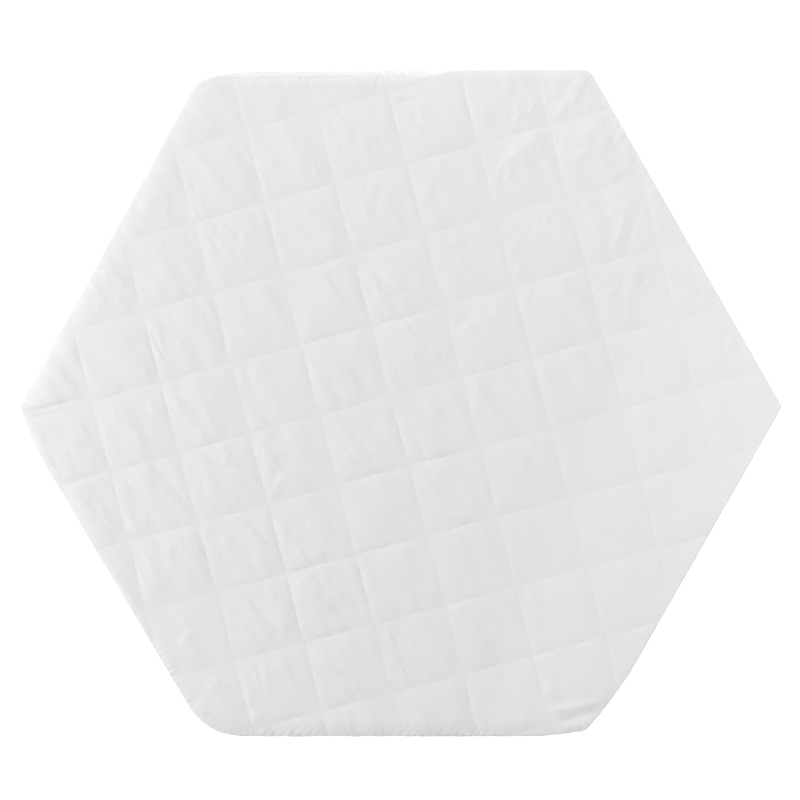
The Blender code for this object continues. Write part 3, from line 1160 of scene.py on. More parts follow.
@dataclass(frozen=True)
class ClothFinish:
    """Fine white woven cloth, with a thread-scale weave, a faint nap, slight mottling and fine wrinkles."""

    name: str
    colour: tuple[float, float, float] = (0.80, 0.80, 0.80)
    roughness: float = 0.85
    sheen: float = 0.12
    sheen_spread: float = 0.5
    shine: float = 0.25
    wrinkle_width: float = 0.0056
    wrinkle_length: float = 2.4
    wrinkle_thickness: float = 4.0
    wrinkle_detail: float = 1.5
    wrinkle_twist: float = 0.5
    wrinkle_depth: float = 0.0
    weave_pitch: float = 0.00055
    weave_turn: float = 15.2
    weave_depth: float = 0.00004
    weave_strength: float = 0.6
    weave_waver: float = 0.6
    weave_waver_scale: float = 0.4
    nap_size: float = 0.0022
    nap_depth: float = 0.00006
    nap_detail: float = 3.0
    nap_strength: float = 0.8
    mottle: float = 0.012
    mottle_scale: float = 45.0
    mottle_detail: float = 4.0

    def material(self) -> bpy.types.Material:
        """Builds the material.

        Returns:
            The material.
        """
        made = bpy.data.materials.new(self.name)
        made.use_nodes = True
        board = NodeBoard(made.node_tree)
        shader = made.node_tree.nodes["Principled BSDF"]
        shader.inputs["Roughness"].default_value = self.roughness
        shader.inputs["Sheen Weight"].default_value = self.sheen
        shader.inputs["Sheen Roughness"].default_value = self.sheen_spread
        shader.inputs["Specular IOR Level"].default_value = self.shine
        place = board.add("ShaderNodeTexCoord").outputs["Object"]
        nap = board.add("ShaderNodeTexNoise", {"Scale": 1 / self.nap_size, "Detail": self.nap_detail})
        cloud = board.add("ShaderNodeTexNoise", {"Scale": self.mottle_scale, "Detail": self.mottle_detail})
        board.join((place, nap.inputs["Vector"]), (place, cloud.inputs["Vector"]))
        normal = board.bump(self.weave(board, place), self.weave_depth, self.weave_strength)
        normal = board.bump(nap.outputs["Fac"], self.nap_depth, self.nap_strength, normal)
        if self.wrinkle_depth:
            normal = board.bump(self.wrinkles(board, place), self.wrinkle_depth, 1.0, normal)
        darker = tuple(c * (1 - self.mottle) for c in self.colour)
        lighter = tuple(c * (1 + self.mottle) for c in self.colour)
        shade = board.mixed_colours(cloud.outputs["Fac"], darker, lighter)
        board.join((normal, shader.inputs["Normal"]), (shade, shader.inputs["Base Color"]))
        return made

    def weave(self, board: NodeBoard, place: Socket) -> Socket:
        """Adds the weave, two sets of threads that cross.

        Args:
            board: Where the nodes go.
            place: The place on the object.

        Returns:
            The output that gives its height.
        """
        turn = (0.0, 0.0, -math.radians(self.weave_turn))
        turned = board.add("ShaderNodeMapping", {"Rotation": turn})
        board.join((place, turned.inputs["Vector"]))
        shape = {
            "Scale": wave_scale(self.weave_pitch),
            "Distortion": self.weave_waver,
            "Detail": 1.0,
            "Detail Scale": self.weave_waver_scale,
        }
        threads = []
        for direction in ("X", "Y"):
            wave = board.add("ShaderNodeTexWave", shape, bands_direction=direction)
            board.join((turned.outputs["Vector"], wave.inputs["Vector"]))
            threads.append(wave.outputs["Fac"])
        return board.combined("MAXIMUM", *threads)

    def wrinkles(self, board: NodeBoard, place: Socket) -> Socket:
        """Adds the finest wrinkles, where the mesh says that the cloth is wrinkled.

        Args:
            board: Where the nodes go.
            place: The place on the object.

        Returns:
            The output that gives their height.
        """
        across = 1 / self.wrinkle_width
        squeeze = (across / self.wrinkle_length, across, across / self.wrinkle_thickness)
        shape = {"Scale": 1.0, "Detail": self.wrinkle_detail, "Distortion": self.wrinkle_twist}
        runs = []
        for angle in (Wrinkles.main_angle, Wrinkles.right_angle):
            turn = {"Angle": -math.radians(angle)}
            turned = board.add("ShaderNodeVectorRotate", turn, rotation_type="Z_AXIS")
            stretched = board.add("ShaderNodeMapping", {"Scale": squeeze})
            noise = board.add("ShaderNodeTexNoise", shape)
            board.join(
                (place, turned.inputs["Vector"]),
                (turned.outputs["Vector"], stretched.inputs["Vector"]),
                (stretched.outputs["Vector"], noise.inputs["Vector"]),
            )
            runs.append(noise.outputs["Fac"])
        right = board.add("ShaderNodeAttribute", attribute_name="right_part").outputs["Fac"]
        strength = board.add("ShaderNodeAttribute", attribute_name="wrinkled").outputs["Fac"]
        return board.combined("MULTIPLY", board.mixed_floats(right, *runs), strength)


@dataclass(frozen=True)
class ThreadFinish:
    """White sewing thread, a little smoother than the cloth."""

    name: str = "quilting_thread"
    colour: tuple[float, float, float] = (0.82, 0.82, 0.82)
    roughness: float = 0.6
    shine: float = 0.3
    twist_pitch: float = 0.0004
    twist_shade: float = 0.94

    def material(self) -> bpy.types.Material:
        """Builds the material.

        Returns:
            The material.
        """
        made = bpy.data.materials.new(self.name)
        made.use_nodes = True
        board = NodeBoard(made.node_tree)
        shader = made.node_tree.nodes["Principled BSDF"]
        shader.inputs["Roughness"].default_value = self.roughness
        shader.inputs["Specular IOR Level"].default_value = self.shine
        place = board.add("ShaderNodeTexCoord").outputs["Object"]
        size = {"Scale": wave_scale(self.twist_pitch)}
        twist = board.add("ShaderNodeTexWave", size, bands_direction="DIAGONAL")
        darker = tuple(c * self.twist_shade for c in self.colour)
        shade = board.mixed_colours(twist.outputs["Fac"], darker, self.colour)
        board.join((place, twist.inputs["Vector"]), (shade, shader.inputs["Base Color"]))
        return made


def finished_piece(name: str, mesh: bpy.types.Mesh, material: bpy.types.Material) -> bpy.types.Object:
    """Makes a mesh into a smooth object with one material, at the origin.

    Args:
        name: The piece's name.
        mesh: Its mesh, whose places are already the final ones.
        material: Its material.

    Returns:
        The object.
    """
    mesh.materials.clear()
    mesh.materials.append(material)
    mesh.shade_smooth()
    piece = bpy.data.objects.new(name, mesh)
    bpy.context.scene.collection.objects.link(piece)
    return piece


def report(piece: bpy.types.Object) -> None:
    """Logs a piece's name and how many triangles it has."""
    log.info("%s: %d triangles", piece.name, sum(len(face.vertices) - 2 for face in piece.data.polygons))


class Section(NamedTuple):
    """A level of the side's section: its inset from the outermost edge, and its height."""

    inset: float
    height: float


@dataclass
class QuiltedPad:
    """The filled pad with its quilted top, rounded shoulder, tucked side and flat base."""

    surface: QuiltSurface
    cut_inset: float = 0.028
    squares_cut: int = 22
    finer_part: float = 0.23
    longest_step: float = 0.0034
    gathered_step: float = 0.0019
    gather_margin: float = 1.2
    crowding: float = 0.75
    near_edge: float = 0.09
    cell_reach: float = 0.008
    merge_within: float = 3e-5
    drift_from: float = 0.012
    side_drift_from: float = 0.020
    side_drift_over: float = 0.016
    marked_gain: float = 2.2
    marked_least: float = 0.15
    shoulder_shares: tuple[float, ...] = (0.86, 0.72, 0.58, 0.45, 0.33, 0.22, 0.13, 0.06, 0.02, 0.0)
    roll: tuple[tuple[float, float], ...] = ((-0.0005, 0.2), (-0.0002, 0.5), (0.0014, 0.85), (0.0040, 1.0))
    roll_foot: float = 0.0368
    strip_lift: float = 0.0040
    strip_tuck: float = 0.0012
    hidden_side: tuple[Section, ...] = (
        Section(0.0078, 0.0362),
        Section(0.0050, 0.0200),
        Section(0.0078, 0.0040),
        Section(0.0170, 0.0000),
        Section(0.1800, 0.0000),
    )

    def grid_places(self) -> np.ndarray:
        """Where the lines that follow the stitching cross, closer together near each stitch line.

        Returns:
            An array of rows, columns and x and y.
        """
        half = np.linspace(0, 0.5, self.squares_cut // 2 + 1)
        half = half * (self.crowding + 2 * (1 - self.crowding) * half)
        steps = np.concatenate([half, 1 - half[-2:0:-1]])
        found = []
        for lines in (RISING, STEEP):
            numbers = (np.arange(lines.first, lines.last)[:, None] + steps[None]).ravel()
            found.append(lines.line(np.append(numbers, float(lines.last))))
        (rising_at, rising_normal), (steep_at, steep_normal) = found
        a, b = rising_normal[:, None], steep_normal[None]
        level_a = (rising_at * rising_normal).sum(axis=1)[:, None]
        level_b = (steep_at * steep_normal).sum(axis=1)[None]
        turn = a[..., 0] * b[..., 1] - a[..., 1] * b[..., 0]
        x = (level_a * b[..., 1] - level_b * a[..., 1]) / turn
        y = (a[..., 0] * level_b - b[..., 0] * level_a) / turn
        straight = np.stack([x, y], axis=-1)
        flat = straight.reshape(-1, 2)
        once = 2 * flat - wandered(flat)
        return (flat - (wandered(once) - once)).reshape(straight.shape)

    def bent_cells(self, places: np.ndarray, whole: np.ndarray) -> np.ndarray:
        """Which cells of the grid are cut finer, because the cloth bends most there.

        Args:
            places: The grid's crossings.
            whole: Which cells lie wholly inside the cut.

        Returns:
            True for the cells to cut in four.
        """
        corners = (places[:-1, :-1], places[:-1, 1:], places[1:, 1:], places[1:, :-1])
        spots = [sum(corners) / 4]
        spots += [(corners[i] + corners[(i + 1) % 4]) / 2 for i in range(4)]
        levels = [self.top_levels(spot[whole]) for spot in (*corners, *spots)]
        around, middle, *sides = levels[:4], *levels[4:]
        bends = np.abs(middle - sum(around) / 4)
        for i, side in enumerate(sides):
            bends = np.maximum(bends, np.abs(side - (around[i] + around[(i + 1) % 4]) / 2))
        bent = np.zeros(whole.shape, bool)
        bent[whole] = bends > np.quantile(bends, 1 - self.finer_part)
        return bent

    def top_levels(self, xy: np.ndarray) -> np.ndarray:
        """The top's height at places that may be anywhere inside the cut.

        Args:
            xy: Rows of x and y.

        Returns:
            A height for each row.
        """
        outline = self.surface.outline
        depth = np.concatenate([outline.depth(part) for part in np.array_split(xy, PARTS_AT_ONCE)])
        place = np.zeros(len(xy))
        near = depth < self.near_edge
        place[near] = outline.locate(xy[near], 0.0)
        return self.surface.heights(xy, depth, place)

    def cut_to_outline(self, places: np.ndarray) -> tuple[list[tuple[float, float]], list[list[int]]]:
        """Cuts the grid to the inner outline, with finer cells where the cloth bends.

        Args:
            places: The grid's crossings.

        Returns:
            The kept points and the faces between them.
        """
        outline = self.surface.outline
        rows, columns = places.shape[:2]
        flat = places.reshape(-1, 2)
        parts = np.array_split(flat, PARTS_AT_ONCE)
        depth = np.concatenate([outline.depth(part, self.cut_inset) for part in parts]).reshape(rows, columns)
        corners = np.stack([depth[:-1, :-1], depth[:-1, 1:], depth[1:, 1:], depth[1:, :-1]])
        whole = corners.min(axis=0) >= 0
        partly = (corners.max(axis=0) > -self.cell_reach) & ~whole
        bent = self.bent_cells(places, whole)
        edge = outline.points(self.cut_inset)
        side = np.roll(edge, -1, axis=0) - edge
        inwards = np.stack([-side[:, 1], side[:, 0]], axis=1)
        length = np.linalg.norm(inwards, axis=1)
        keep = length > LEAST_LENGTH
        inwards, edge = inwards[keep] / length[keep][:, None], edge[keep]
        level = (inwards * edge).sum(axis=1)
        points, faces = [], []

        def add(shape: list[np.ndarray]) -> None:
            """Keeps one face."""
            faces.append(list(range(len(points), len(points) + len(shape))))
            points.extend(tuple(p) for p in shape)

        for i, j in zip(*np.nonzero(whole | partly)):
            shape = [places[i, j], places[i, j + 1], places[i + 1, j + 1], places[i + 1, j]]
            if bent[i, j]:
                middle = sum(shape) / 4
                halves = [(shape[k] + shape[(k + 1) % 4]) / 2 for k in range(4)]
                for k in range(4):
                    add([shape[k], halves[k], middle, halves[k - 1]])
                continue
            beside = ((i - 1, j), (i, j + 1), (i + 1, j), (i, j - 1))
            full = []
            for k, (a, b) in enumerate(beside):
                full.append(shape[k])
                if 0 <= a < bent.shape[0] and 0 <= b < bent.shape[1] and bent[a, b]:
                    full.append((shape[k] + shape[(k + 1) % 4]) / 2)
            if partly[i, j]:
                beyond = (np.array(full) @ inwards.T - level[None]).min(axis=0)
                for cut in np.nonzero(beyond < 0)[0]:
                    full = cut_polygon(full, edge[cut], inwards[cut])
                    if len(full) < 3:
                        break
            if len(full) >= 3:
                add(full)
        return points, faces

    def build(self, material: bpy.types.Material) -> bpy.types.Object:
        """Builds the pad.

        Args:
            material: The quilted cloth.

        Returns:
            The finished object.
        """
        outline = self.surface.outline
        points, faces = self.cut_to_outline(self.grid_places())
        mesh = bmesh.new()
        used = sorted({i for face in faces for i in face})
        verts = {i: mesh.verts.new((*points[i], 0.0)) for i in used}
        for face in faces:
            mesh.faces.new([verts[i] for i in face])
        bmesh.ops.remove_doubles(mesh, verts=mesh.verts, dist=self.merge_within)
        self.refine_boundary(mesh)
        loop = boundary_loop(mesh)
        place = outline.locate(np.array([v.co.xy for v in loop]), self.cut_inset)
        inner = list(mesh.verts)
        for vert, height in zip(inner, self.top_levels(np.array([v.co.xy for v in inner]))):
            vert.co.z = height
        roll_inset = edge_style(outline.facing(place))[0]
        ring = loop
        for share in self.shoulder_shares:
            inset = roll_inset + (self.cut_inset - roll_inset) * share
            drift = np.clip((self.cut_inset - inset) / (self.cut_inset - self.drift_from), 0, 1)
            spots = outline.drifted(outline.at_insets(place, inset), drift)
            ring = add_ring(mesh, ring, spots, self.surface.heights(spots, inset, place))
        rim = np.array([vert.co.z for vert in ring])
        strip = outline.top_strip(place)
        foot = self.roll_foot + self.strip_lift * strip
        rolled = [(roll_inset + inset, rim + (foot - rim) * share) for inset, share in self.roll]
        hidden = [(section.inset, np.full(len(place), section.height)) for section in self.hidden_side]
        hidden[0] = (hidden[0][0] + self.strip_tuck * strip, hidden[0][1])
        for inset, heights in rolled + hidden:
            drift = ramp(heights, self.side_drift_from, self.side_drift_over)
            spots = outline.drifted(outline.at_insets(place, np.maximum(inset, 0.0)), drift)
            ring = add_ring(mesh, ring, spots, heights)
        middle = mesh.verts.new((0.0, 0.0, 0.0))
        for a, b in zip(ring, ring[1:] + ring[:1]):
            mesh.faces.new((a, middle, b))
        bmesh.ops.recalc_face_normals(mesh, faces=mesh.faces)
        data = bpy.data.meshes.new("quilted_pad_cloth")
        mesh.to_mesh(data)
        mesh.free()
        self.mark_wrinkles(data)
        return finished_piece("quilted_mattress_pad", data, material)

    def refine_boundary(self, mesh: bmesh.types.BMesh) -> None:
        """Cuts the open edge into short steps, the shortest where the cloth is gathered.

        Args:
            mesh: The mesh, which has one open edge.
        """
        groups = {}
        for edge in mesh.edges:
            if not edge.is_boundary:
                continue
            x, y = ((edge.verts[0].co + edge.verts[1].co) / 2).xy
            near = any(math.hypot(x - g.x, y - g.y) < g.span * self.gather_margin for g in GATHERS)
            step = self.gathered_step if near else self.longest_step
            cuts = math.ceil(edge.calc_length() / step) - 1
            if cuts > 0:
                groups.setdefault(cuts, []).append(edge)
        for cuts, edges in groups.items():
            bmesh.ops.subdivide_edges(mesh, edges=edges, cuts=cuts)

    def mark_wrinkles(self, data: bpy.types.Mesh) -> None:
        """Writes on the mesh where its cloth is finely wrinkled, for the material.

        Args:
            data: The finished mesh.
        """
        xyz = np.empty(len(data.vertices) * 3)
        data.vertices.foreach_get("co", xyz)
        xy = xyz.reshape(-1, 3)[:, :2]
        spot = wandered(xy)
        rising_share, steep_share = RISING.square(spot)[1], STEEP.square(spot)[1]
        wrinkles = Wrinkles()
        full = self.surface.pillow(rising_share) * self.surface.pillow(steep_share)
        loose = np.clip(full * self.marked_gain, 0, 1)
        free = self.marked_least + (1 - self.marked_least) * loose
        marks = {
            "wrinkled": wrinkles.strength(xy, steep_share) * free,
            "right_part": wrinkles.right_part(xy),
        }
        for name, values in marks.items():
            mark = data.attributes.new(name, "FLOAT", "POINT")
            mark.data.foreach_set("value", values.astype(np.float32))


def cut_polygon(shape: list[np.ndarray], at: np.ndarray, inwards: np.ndarray) -> list[np.ndarray]:
    """Keeps the part of a convex shape that lies on the inner side of a line.

    Args:
        shape: The shape's points in order.
        at: A point on the line.
        inwards: The line's normal, towards the kept side.

    Returns:
        The points of the kept part.
    """
    kept = []
    depths = [float((p - at) @ inwards) for p in shape]
    for i, here in enumerate(shape):
        j = (i + 1) % len(shape)
        if depths[i] >= 0:
            kept.append(here)
        if (depths[i] >= 0) != (depths[j] >= 0):
            t = depths[i] / (depths[i] - depths[j])
            kept.append(here + (shape[j] - here) * t)
    return kept


def boundary_loop(mesh: bmesh.types.BMesh) -> list[bmesh.types.BMVert]:
    """The vertices round a mesh's one open edge, counter-clockwise seen from above.

    Args:
        mesh: The mesh.

    Returns:
        The vertices in order.
    """
    following = {}
    for edge in mesh.edges:
        if edge.is_boundary:
            a, b = edge.link_loops[0].vert, edge.link_loops[0].link_loop_next.vert
            following[a] = b
    start = next(iter(following))
    loop = [start]
    while following[loop[-1]] is not start:
        loop.append(following[loop[-1]])
    twice_area = sum(a.co.x * b.co.y - b.co.x * a.co.y for a, b in zip(loop, loop[1:] + loop[:1]))
    return loop if twice_area > 0 else loop[::-1]


def add_ring(
    mesh: bmesh.types.BMesh, ring: list[bmesh.types.BMVert], spots: np.ndarray, heights: np.ndarray
) -> list[bmesh.types.BMVert]:
    """Adds a ring of vertices and joins it to the last one with quads.

    Args:
        mesh: The mesh being built.
        ring: The last ring.
        spots: The new ring's x and y.
        heights: The new ring's heights.

    Returns:
        The new ring.
    """
    new = [mesh.verts.new((x, y, z)) for (x, y), z in zip(spots, heights)]
    for i in range(len(ring)):
        mesh.faces.new((ring[i - 1], new[i - 1], new[i], ring[i]))
    return new


@dataclass
class SideBand:
    """The plain band of cloth sewn round the side, with soft wrinkles where it is eased in."""

    outline: SewnOutline
    thickness: float = 0.0016
    step: float = 0.0032
    steps_in_one: int = 40
    inner_every: int = 3
    ripple: float = 0.0007
    ripple_slant: float = 0.35
    ripple_upright: float = 0.02
    ripple_kinds: tuple[tuple[float, int, Seed], ...] = (
        (1.0, 310, Seed.BAND_BROAD),
        (0.7, 140, Seed.BAND_LONG),
        (0.4, 620, Seed.BAND_FINE),
    )
    rows: tuple[Section, ...] = (
        Section(0.0056, 0.0034),
        Section(0.0046, 0.0050),
        Section(0.0032, 0.0078),
        Section(0.0018, 0.0112),
        Section(0.0008, 0.0150),
        Section(0.0003, 0.0185),
        Section(0.0003, 0.0220),
        Section(0.0008, 0.0255),
        Section(0.0018, 0.0290),
        Section(0.0032, 0.0322),
        Section(0.0046, 0.0346),
        Section(0.0056, 0.0360),
    )
    strip_rows: tuple[Section, ...] = (
        Section(0.0056, 0.0034),
        Section(0.0046, 0.0050),
        Section(0.0032, 0.0084),
        Section(0.0018, 0.0130),
        Section(0.0006, 0.0182),
        Section(0.0002, 0.0240),
        Section(0.0002, 0.0296),
        Section(0.0004, 0.0322),
        Section(0.0010, 0.0346),
        Section(0.0022, 0.0367),
        Section(0.0036, 0.0386),
        Section(0.0052, 0.0403),
    )
    strip_ripple: float = 0.0008
    strip_wave: float = 0.0130
    strip_slant: float = 1.2
    strip_from: float = 0.026
    strip_over: float = 0.0143
    strip_drift: float = 0.5
    strip_drifts: int = 90
    strip_level: float = 0.9
    strip_patches: int = 70
    drift_from: float = 0.0292
    drift_over: float = 0.0111

    def ripples(self, row: Section, along: np.ndarray) -> np.ndarray:
        """How far out the band's soft wrinkles stand at one of its rows.

        Args:
            row: The row.
            along: The share of the way round of each place.

        Returns:
            A distance for each place.
        """
        slant = along + (row.height - self.ripple_upright) * self.ripple_slant
        loose = sum(share * ring_noise(slant, lumps, seed) for share, lumps, seed in self.ripple_kinds)
        foot, top = self.rows[0].height, self.rows[-1].height
        return self.ripple * loose * math.sin(math.pi * (row.height - foot) / (top - foot))

    def strip_ripples(
        self, row: Section, height: np.ndarray, run: np.ndarray, along: np.ndarray
    ) -> np.ndarray:
        """How far out the fine slanting ripples stand where the band shows along the top.

        Args:
            row: The row as it lies where the band shows fully.
            height: The row's height at each place.
            run: The distance round to each place.
            along: The share of the way round of each place.

        Returns:
            A distance for each place.
        """
        drift = self.strip_drift * ring_noise(along, self.strip_drifts, Seed.STRIP_DRIFT)
        twist = (run + self.strip_slant * row.inset) / self.strip_wave + drift
        uneven = self.strip_level * (1 + ring_noise(along, self.strip_patches, Seed.STRIP_PATCHES))
        drawn = uneven * np.sin(math.pi * ramp(height, self.strip_from, self.strip_over))
        return self.strip_ripple * drawn * np.sin(2 * np.pi * twist)

    def build(self, material: bpy.types.Material) -> bpy.types.Object:
        """Builds the band.

        Args:
            material: The plain cloth.

        Returns:
            The finished object.
        """
        count = len(self.outline.points(0.0))
        fine = np.linspace(0, count, count * self.steps_in_one, endpoint=False)
        length = self.outline.length_round(fine)
        whole = float(length[-1])
        place = np.interp(np.arange(0, whole, self.step), length, fine)
        along = self.outline.length_round(place) / whole
        strip = self.outline.top_strip(place)
        spots = self.outline.at(place, 0.0)
        measured_at = 0.01
        towards = (self.outline.at(place, measured_at) - spots) / measured_at
        outer = [(row, top, 0.0) for row, top in zip(self.rows, self.strip_rows)]
        inner = [(row, top, self.thickness) for row, top, _ in outer[:: -self.inner_every]]
        mesh = bmesh.new()
        rings = []
        for row, top, behind in outer + inner:
            inset = row.inset * (1 - strip) + top.inset * strip + behind
            height = row.height * (1 - strip) + top.height * strip
            if behind == 0:
                inset = inset - self.ripples(row, along)
                inset = inset - strip * self.strip_ripples(top, height, along * whole, along)
            share = ramp(height, self.drift_from, self.drift_over)
            placed = self.outline.drifted(spots + towards * inset[:, None], share)
            rings.append([mesh.verts.new((x, y, z)) for (x, y), z in zip(placed, height)])
        for lower, upper in zip(rings, rings[1:] + rings[:1]):
            for i in range(len(lower)):
                mesh.faces.new((lower[i - 1], lower[i], upper[i], upper[i - 1]))
        bmesh.ops.recalc_face_normals(mesh, faces=mesh.faces)
        data = bpy.data.meshes.new("side_band_cloth")
        mesh.to_mesh(data)
        mesh.free()
        return finished_piece("plain_side_band", data, material)


@dataclass
class QuiltStitching:
    """The thread of the quilting: short stitches along the bottom of every channel."""

    surface: QuiltSurface
    stitch_pitch: float = 0.0036
    stitch_length: float = 0.0027
    thread: float = 0.00034
    shortest: float = 0.86
    longest: float = 1.06
    bead_segments: int = 6
    bead_rings: int = 4
    above: float = 0.00002
    ends_at: float = 0.0075
    guide_half: float = 0.8
    guide_step: float = 0.004
    fewest_points: int = 3

    def guides(self) -> bpy.types.Object:
        """Draws lines along the bottom of the channels.

        Returns:
            An object whose mesh has only edges.
        """
        steps = np.arange(-self.guide_half, self.guide_half, self.guide_step)
        outline = self.surface.outline
        points, edges = [], []
        for lines in (RISING, STEEP):
            for k in range(lines.first, lines.last + 1):
                at, normal = lines.line(np.array([float(k)]))
                run = np.array([-normal[0, 1], normal[0, 0]])
                xy = at[0] + steps[:, None] * run
                xy = xy * 2 - wandered(xy)
                depth = outline.depth(xy)
                xy, depth = xy[depth > self.ends_at], depth[depth > self.ends_at]
                if len(xy) < self.fewest_points:
                    continue
                heights = self.surface.heights(xy, depth, outline.locate(xy, 0.0))
                first = len(points)
                points += [(x, y, z + self.above) for (x, y), z in zip(xy, heights)]
                edges += [(i, i + 1) for i in range(first, len(points) - 1)]
        mesh = bpy.data.meshes.new("stitch_guides")
        mesh.from_pydata(points, edges, [])
        guide = bpy.data.objects.new("stitch_guides", mesh)
        bpy.context.scene.collection.objects.link(guide)
        return guide

    def tree(self, material: bpy.types.Material) -> bpy.types.NodeTree:
        """The nodes that lay a stitch at each step along the guides.

        Args:
            material: The thread's material.

        Returns:
            The tree, with named inputs for its sizes.
        """
        tree = bpy.data.node_groups.new("quilting_stitches", "GeometryNodeTree")
        face = tree.interface
        face.new_socket("Guides", in_out="INPUT", socket_type="NodeSocketGeometry")
        for name in ("Stitch pitch", "Stitch length", "Thread thickness"):
            face.new_socket(name, in_out="INPUT", socket_type="NodeSocketFloat")
        face.new_socket("Stitches", in_out="OUTPUT", socket_type="NodeSocketGeometry")
        board = NodeBoard(tree)
        given = board.add("NodeGroupInput").outputs
        curve = board.add("GeometryNodeMeshToCurve")
        steps = board.add("GeometryNodeResampleCurve", mode="LENGTH")
        shape = {"Segments": self.bead_segments, "Rings": self.bead_rings, "Radius": 0.5}
        bead = board.add("GeometryNodeMeshUVSphere", shape)
        size = board.add("ShaderNodeCombineXYZ")
        tangent = board.add("GeometryNodeInputTangent")
        align = board.add("FunctionNodeAlignRotationToVector", axis="X")
        vary = board.add("FunctionNodeRandomValue", data_type="FLOAT")
        chances = {
            ("Min", "VALUE"): self.shortest,
            ("Max", "VALUE"): self.longest,
            ("Seed", "INT"): Seed.STITCHES,
        }
        for socket in vary.inputs:
            if (socket.name, socket.type) in chances:
                socket.default_value = chances[socket.name, socket.type]
        chance = next(s for s in vary.outputs if s.type == "VALUE" and s.enabled)
        scaled = board.add("ShaderNodeVectorMath", operation="SCALE")
        laid = board.add("GeometryNodeInstanceOnPoints")
        real = board.add("GeometryNodeRealizeInstances")
        dressed = board.add("GeometryNodeSetMaterial", {"Material": material})
        result = board.add("NodeGroupOutput")
        board.join(
            (given["Guides"], curve.inputs["Mesh"]),
            (curve.outputs["Curve"], steps.inputs["Curve"]),
            (given["Stitch pitch"], steps.inputs["Length"]),
            (given["Stitch length"], size.inputs["X"]),
            (given["Thread thickness"], size.inputs["Y"]),
            (given["Thread thickness"], size.inputs["Z"]),
            (tangent.outputs["Tangent"], align.inputs["Vector"]),
            (size.outputs["Vector"], scaled.inputs[0]),
            (chance, scaled.inputs["Scale"]),
            (steps.outputs["Curve"], laid.inputs["Points"]),
            (bead.outputs["Mesh"], laid.inputs["Instance"]),
            (align.outputs["Rotation"], laid.inputs["Rotation"]),
            (scaled.outputs["Vector"], laid.inputs["Scale"]),
            (laid.outputs["Instances"], real.inputs["Geometry"]),
            (real.outputs["Geometry"], dressed.inputs["Geometry"]),
            (dressed.outputs["Geometry"], result.inputs["Stitches"]),
        )
        return tree

    def build(self, material: bpy.types.Material) -> bpy.types.Object:
        """Lays the stitches and turns them into a plain mesh.

        Args:
            material: The thread's material.

        Returns:
            The finished object.
        """
        guide = self.guides()
        tree = self.tree(material)
        maker = guide.modifiers.new("stitches", "NODES")
        maker.node_group = tree
        sizes = {
            "Stitch pitch": self.stitch_pitch,
            "Stitch length": self.stitch_length,
            "Thread thickness": self.thread,
        }
        for item in tree.interface.items_tree:
            if item.item_type == "SOCKET" and item.in_out == "INPUT" and item.name in sizes:
                maker[item.identifier] = sizes[item.name]
        graph = bpy.context.evaluated_depsgraph_get()
        data = bpy.data.meshes.new_from_object(guide.evaluated_get(graph), depsgraph=graph)
        data.name = "quilting_stitches"
        bpy.data.objects.remove(guide)
        return finished_piece("quilting_stitches", data, material)


@dataclass(frozen=True)
class Softbox:
    """A soft light that points at the mattress."""

    name: str
    azimuth: float
    elevation: float
    distance: float
    size: float
    power: float

    def build(self) -> bpy.types.Object:
        """Makes the light.

        Returns:
            The light's object.
        """
        light = bpy.data.lights.new(self.name, "AREA")
        light.shape = "DISK"
        light.size = self.size
        light.energy = self.power
        turn, rise = math.radians(self.azimuth), math.radians(self.elevation)
        away = Vector((math.cos(turn) * math.cos(rise), math.sin(turn) * math.cos(rise), math.sin(rise)))
        lamp = bpy.data.objects.new(self.name, light)
        lamp.location = away * self.distance
        lamp.rotation_mode = "QUATERNION"
        lamp.rotation_quaternion = (-away).to_track_quat("-Z", "Y")
        lamp.visible_camera = False
        bpy.context.scene.collection.objects.link(lamp)
        return lamp


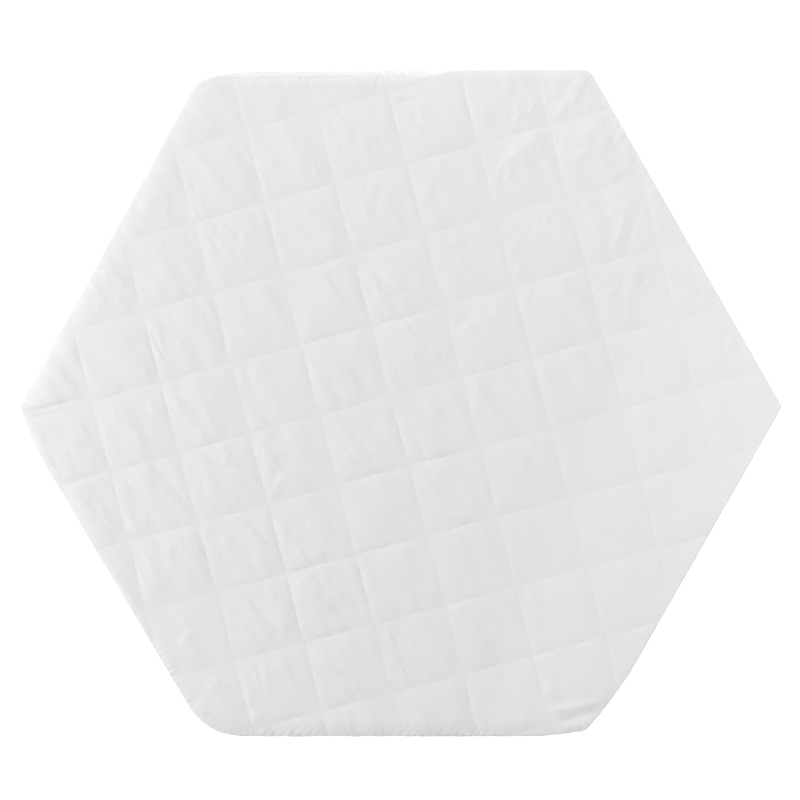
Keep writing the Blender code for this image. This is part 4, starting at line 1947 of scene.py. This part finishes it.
@dataclass
class Studio:
    """A pale floor, plain soft light and the camera straight above."""

    camera_height: float = 8.0
    sensor: float = 36.0
    frame_width: float = 1.2520
    look_at: tuple[float, float] = (-0.0006, 0.0047)
    side_height: float = 0.020
    floor_size: float = 12.0
    floor_grey: float = 0.93
    floor_glow: float = 0.50
    sky: float = 0.229
    softboxes: tuple[Softbox, ...] = (
        Softbox("left_softbox", 180.8, 35.3, 4.0, 1.5, 126.6),
        Softbox("right_softbox", -4.9, 28.0, 1.8, 0.6, 9.1),
        Softbox("upper_softbox", 69.8, 28.0, 2.0, 0.7, 9.0),
        Softbox("lower_softbox", -75.0, 44.9, 1.9, 0.6, 2.45),
        Softbox("top_edge_softbox", 92.0, 9.0, 1.35, 0.4, 1.2),
    )

    def build(self) -> None:
        """Makes the floor, the lights and the camera."""
        self.build_floor()
        self.build_sky()
        for softbox in self.softboxes:
            softbox.build()
        camera = bpy.data.cameras.new("camera")
        camera.sensor_width = self.sensor
        camera.lens = self.sensor * (self.camera_height - self.side_height) / self.frame_width
        eye = bpy.data.objects.new("camera", camera)
        eye.location = (*self.look_at, self.camera_height)
        bpy.context.scene.collection.objects.link(eye)
        bpy.context.scene.camera = eye
        bpy.context.scene.view_settings.view_transform = "Standard"

    def build_floor(self) -> None:
        """A wide, plain, pale floor that glows slightly, as a lit white sweep does."""
        half = self.floor_size / 2
        corners = [(-half, -half, 0), (half, -half, 0), (half, half, 0), (-half, half, 0)]
        mesh = bpy.data.meshes.new("floor")
        mesh.from_pydata(corners, [], [(0, 1, 2, 3)])
        pale = bpy.data.materials.new("pale_floor")
        pale.use_nodes = True
        shader = pale.node_tree.nodes["Principled BSDF"]
        shader.inputs["Base Color"].default_value = (self.floor_grey, self.floor_grey, self.floor_grey, 1.0)
        shader.inputs["Roughness"].default_value = 1.0
        shader.inputs["Specular IOR Level"].default_value = 0.0
        shader.inputs["Emission Color"].default_value = (1.0, 1.0, 1.0, 1.0)
        shader.inputs["Emission Strength"].default_value = self.floor_glow
        mesh.materials.append(pale)
        floor = bpy.data.objects.new("floor", mesh)
        bpy.context.scene.collection.objects.link(floor)

    def build_sky(self) -> None:
        """Even white light from all round."""
        world = bpy.data.worlds.new("studio")
        world.use_nodes = True
        background = world.node_tree.nodes["Background"]
        background.inputs["Color"].default_value = (1.0, 1.0, 1.0, 1.0)
        background.inputs["Strength"].default_value = self.sky
        bpy.context.scene.world = world


def main() -> None:
    """Builds the mattress's pieces and the studio."""
    logging.basicConfig(level=logging.INFO, format="%(message)s")
    outline = SewnOutline()
    surface = QuiltSurface(outline)
    pad = QuiltedPad(surface).build(ClothFinish("quilted_cloth", wrinkle_depth=0.0008).material())
    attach(pad, "root")
    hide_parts("quilted_pad")
    report(pad)
    # The band's cloth is a little lighter than the quilted cloth's 0.80. This is painted light: it makes the
    # strip of band along the upper side read as brightly lit.
    lightened_band_cloth = ClothFinish("band_cloth", (0.84, 0.84, 0.84), weave_turn=0.0, nap_depth=0.00005)
    band = SideBand(outline).build(lightened_band_cloth.material())
    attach(band, "root")
    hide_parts("side_band")
    report(band)
    stitches = QuiltStitching(surface).build(ThreadFinish().material())
    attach(stitches, "root")
    report(stitches)
    Studio().build()


if __name__ == "__main__":
    main()
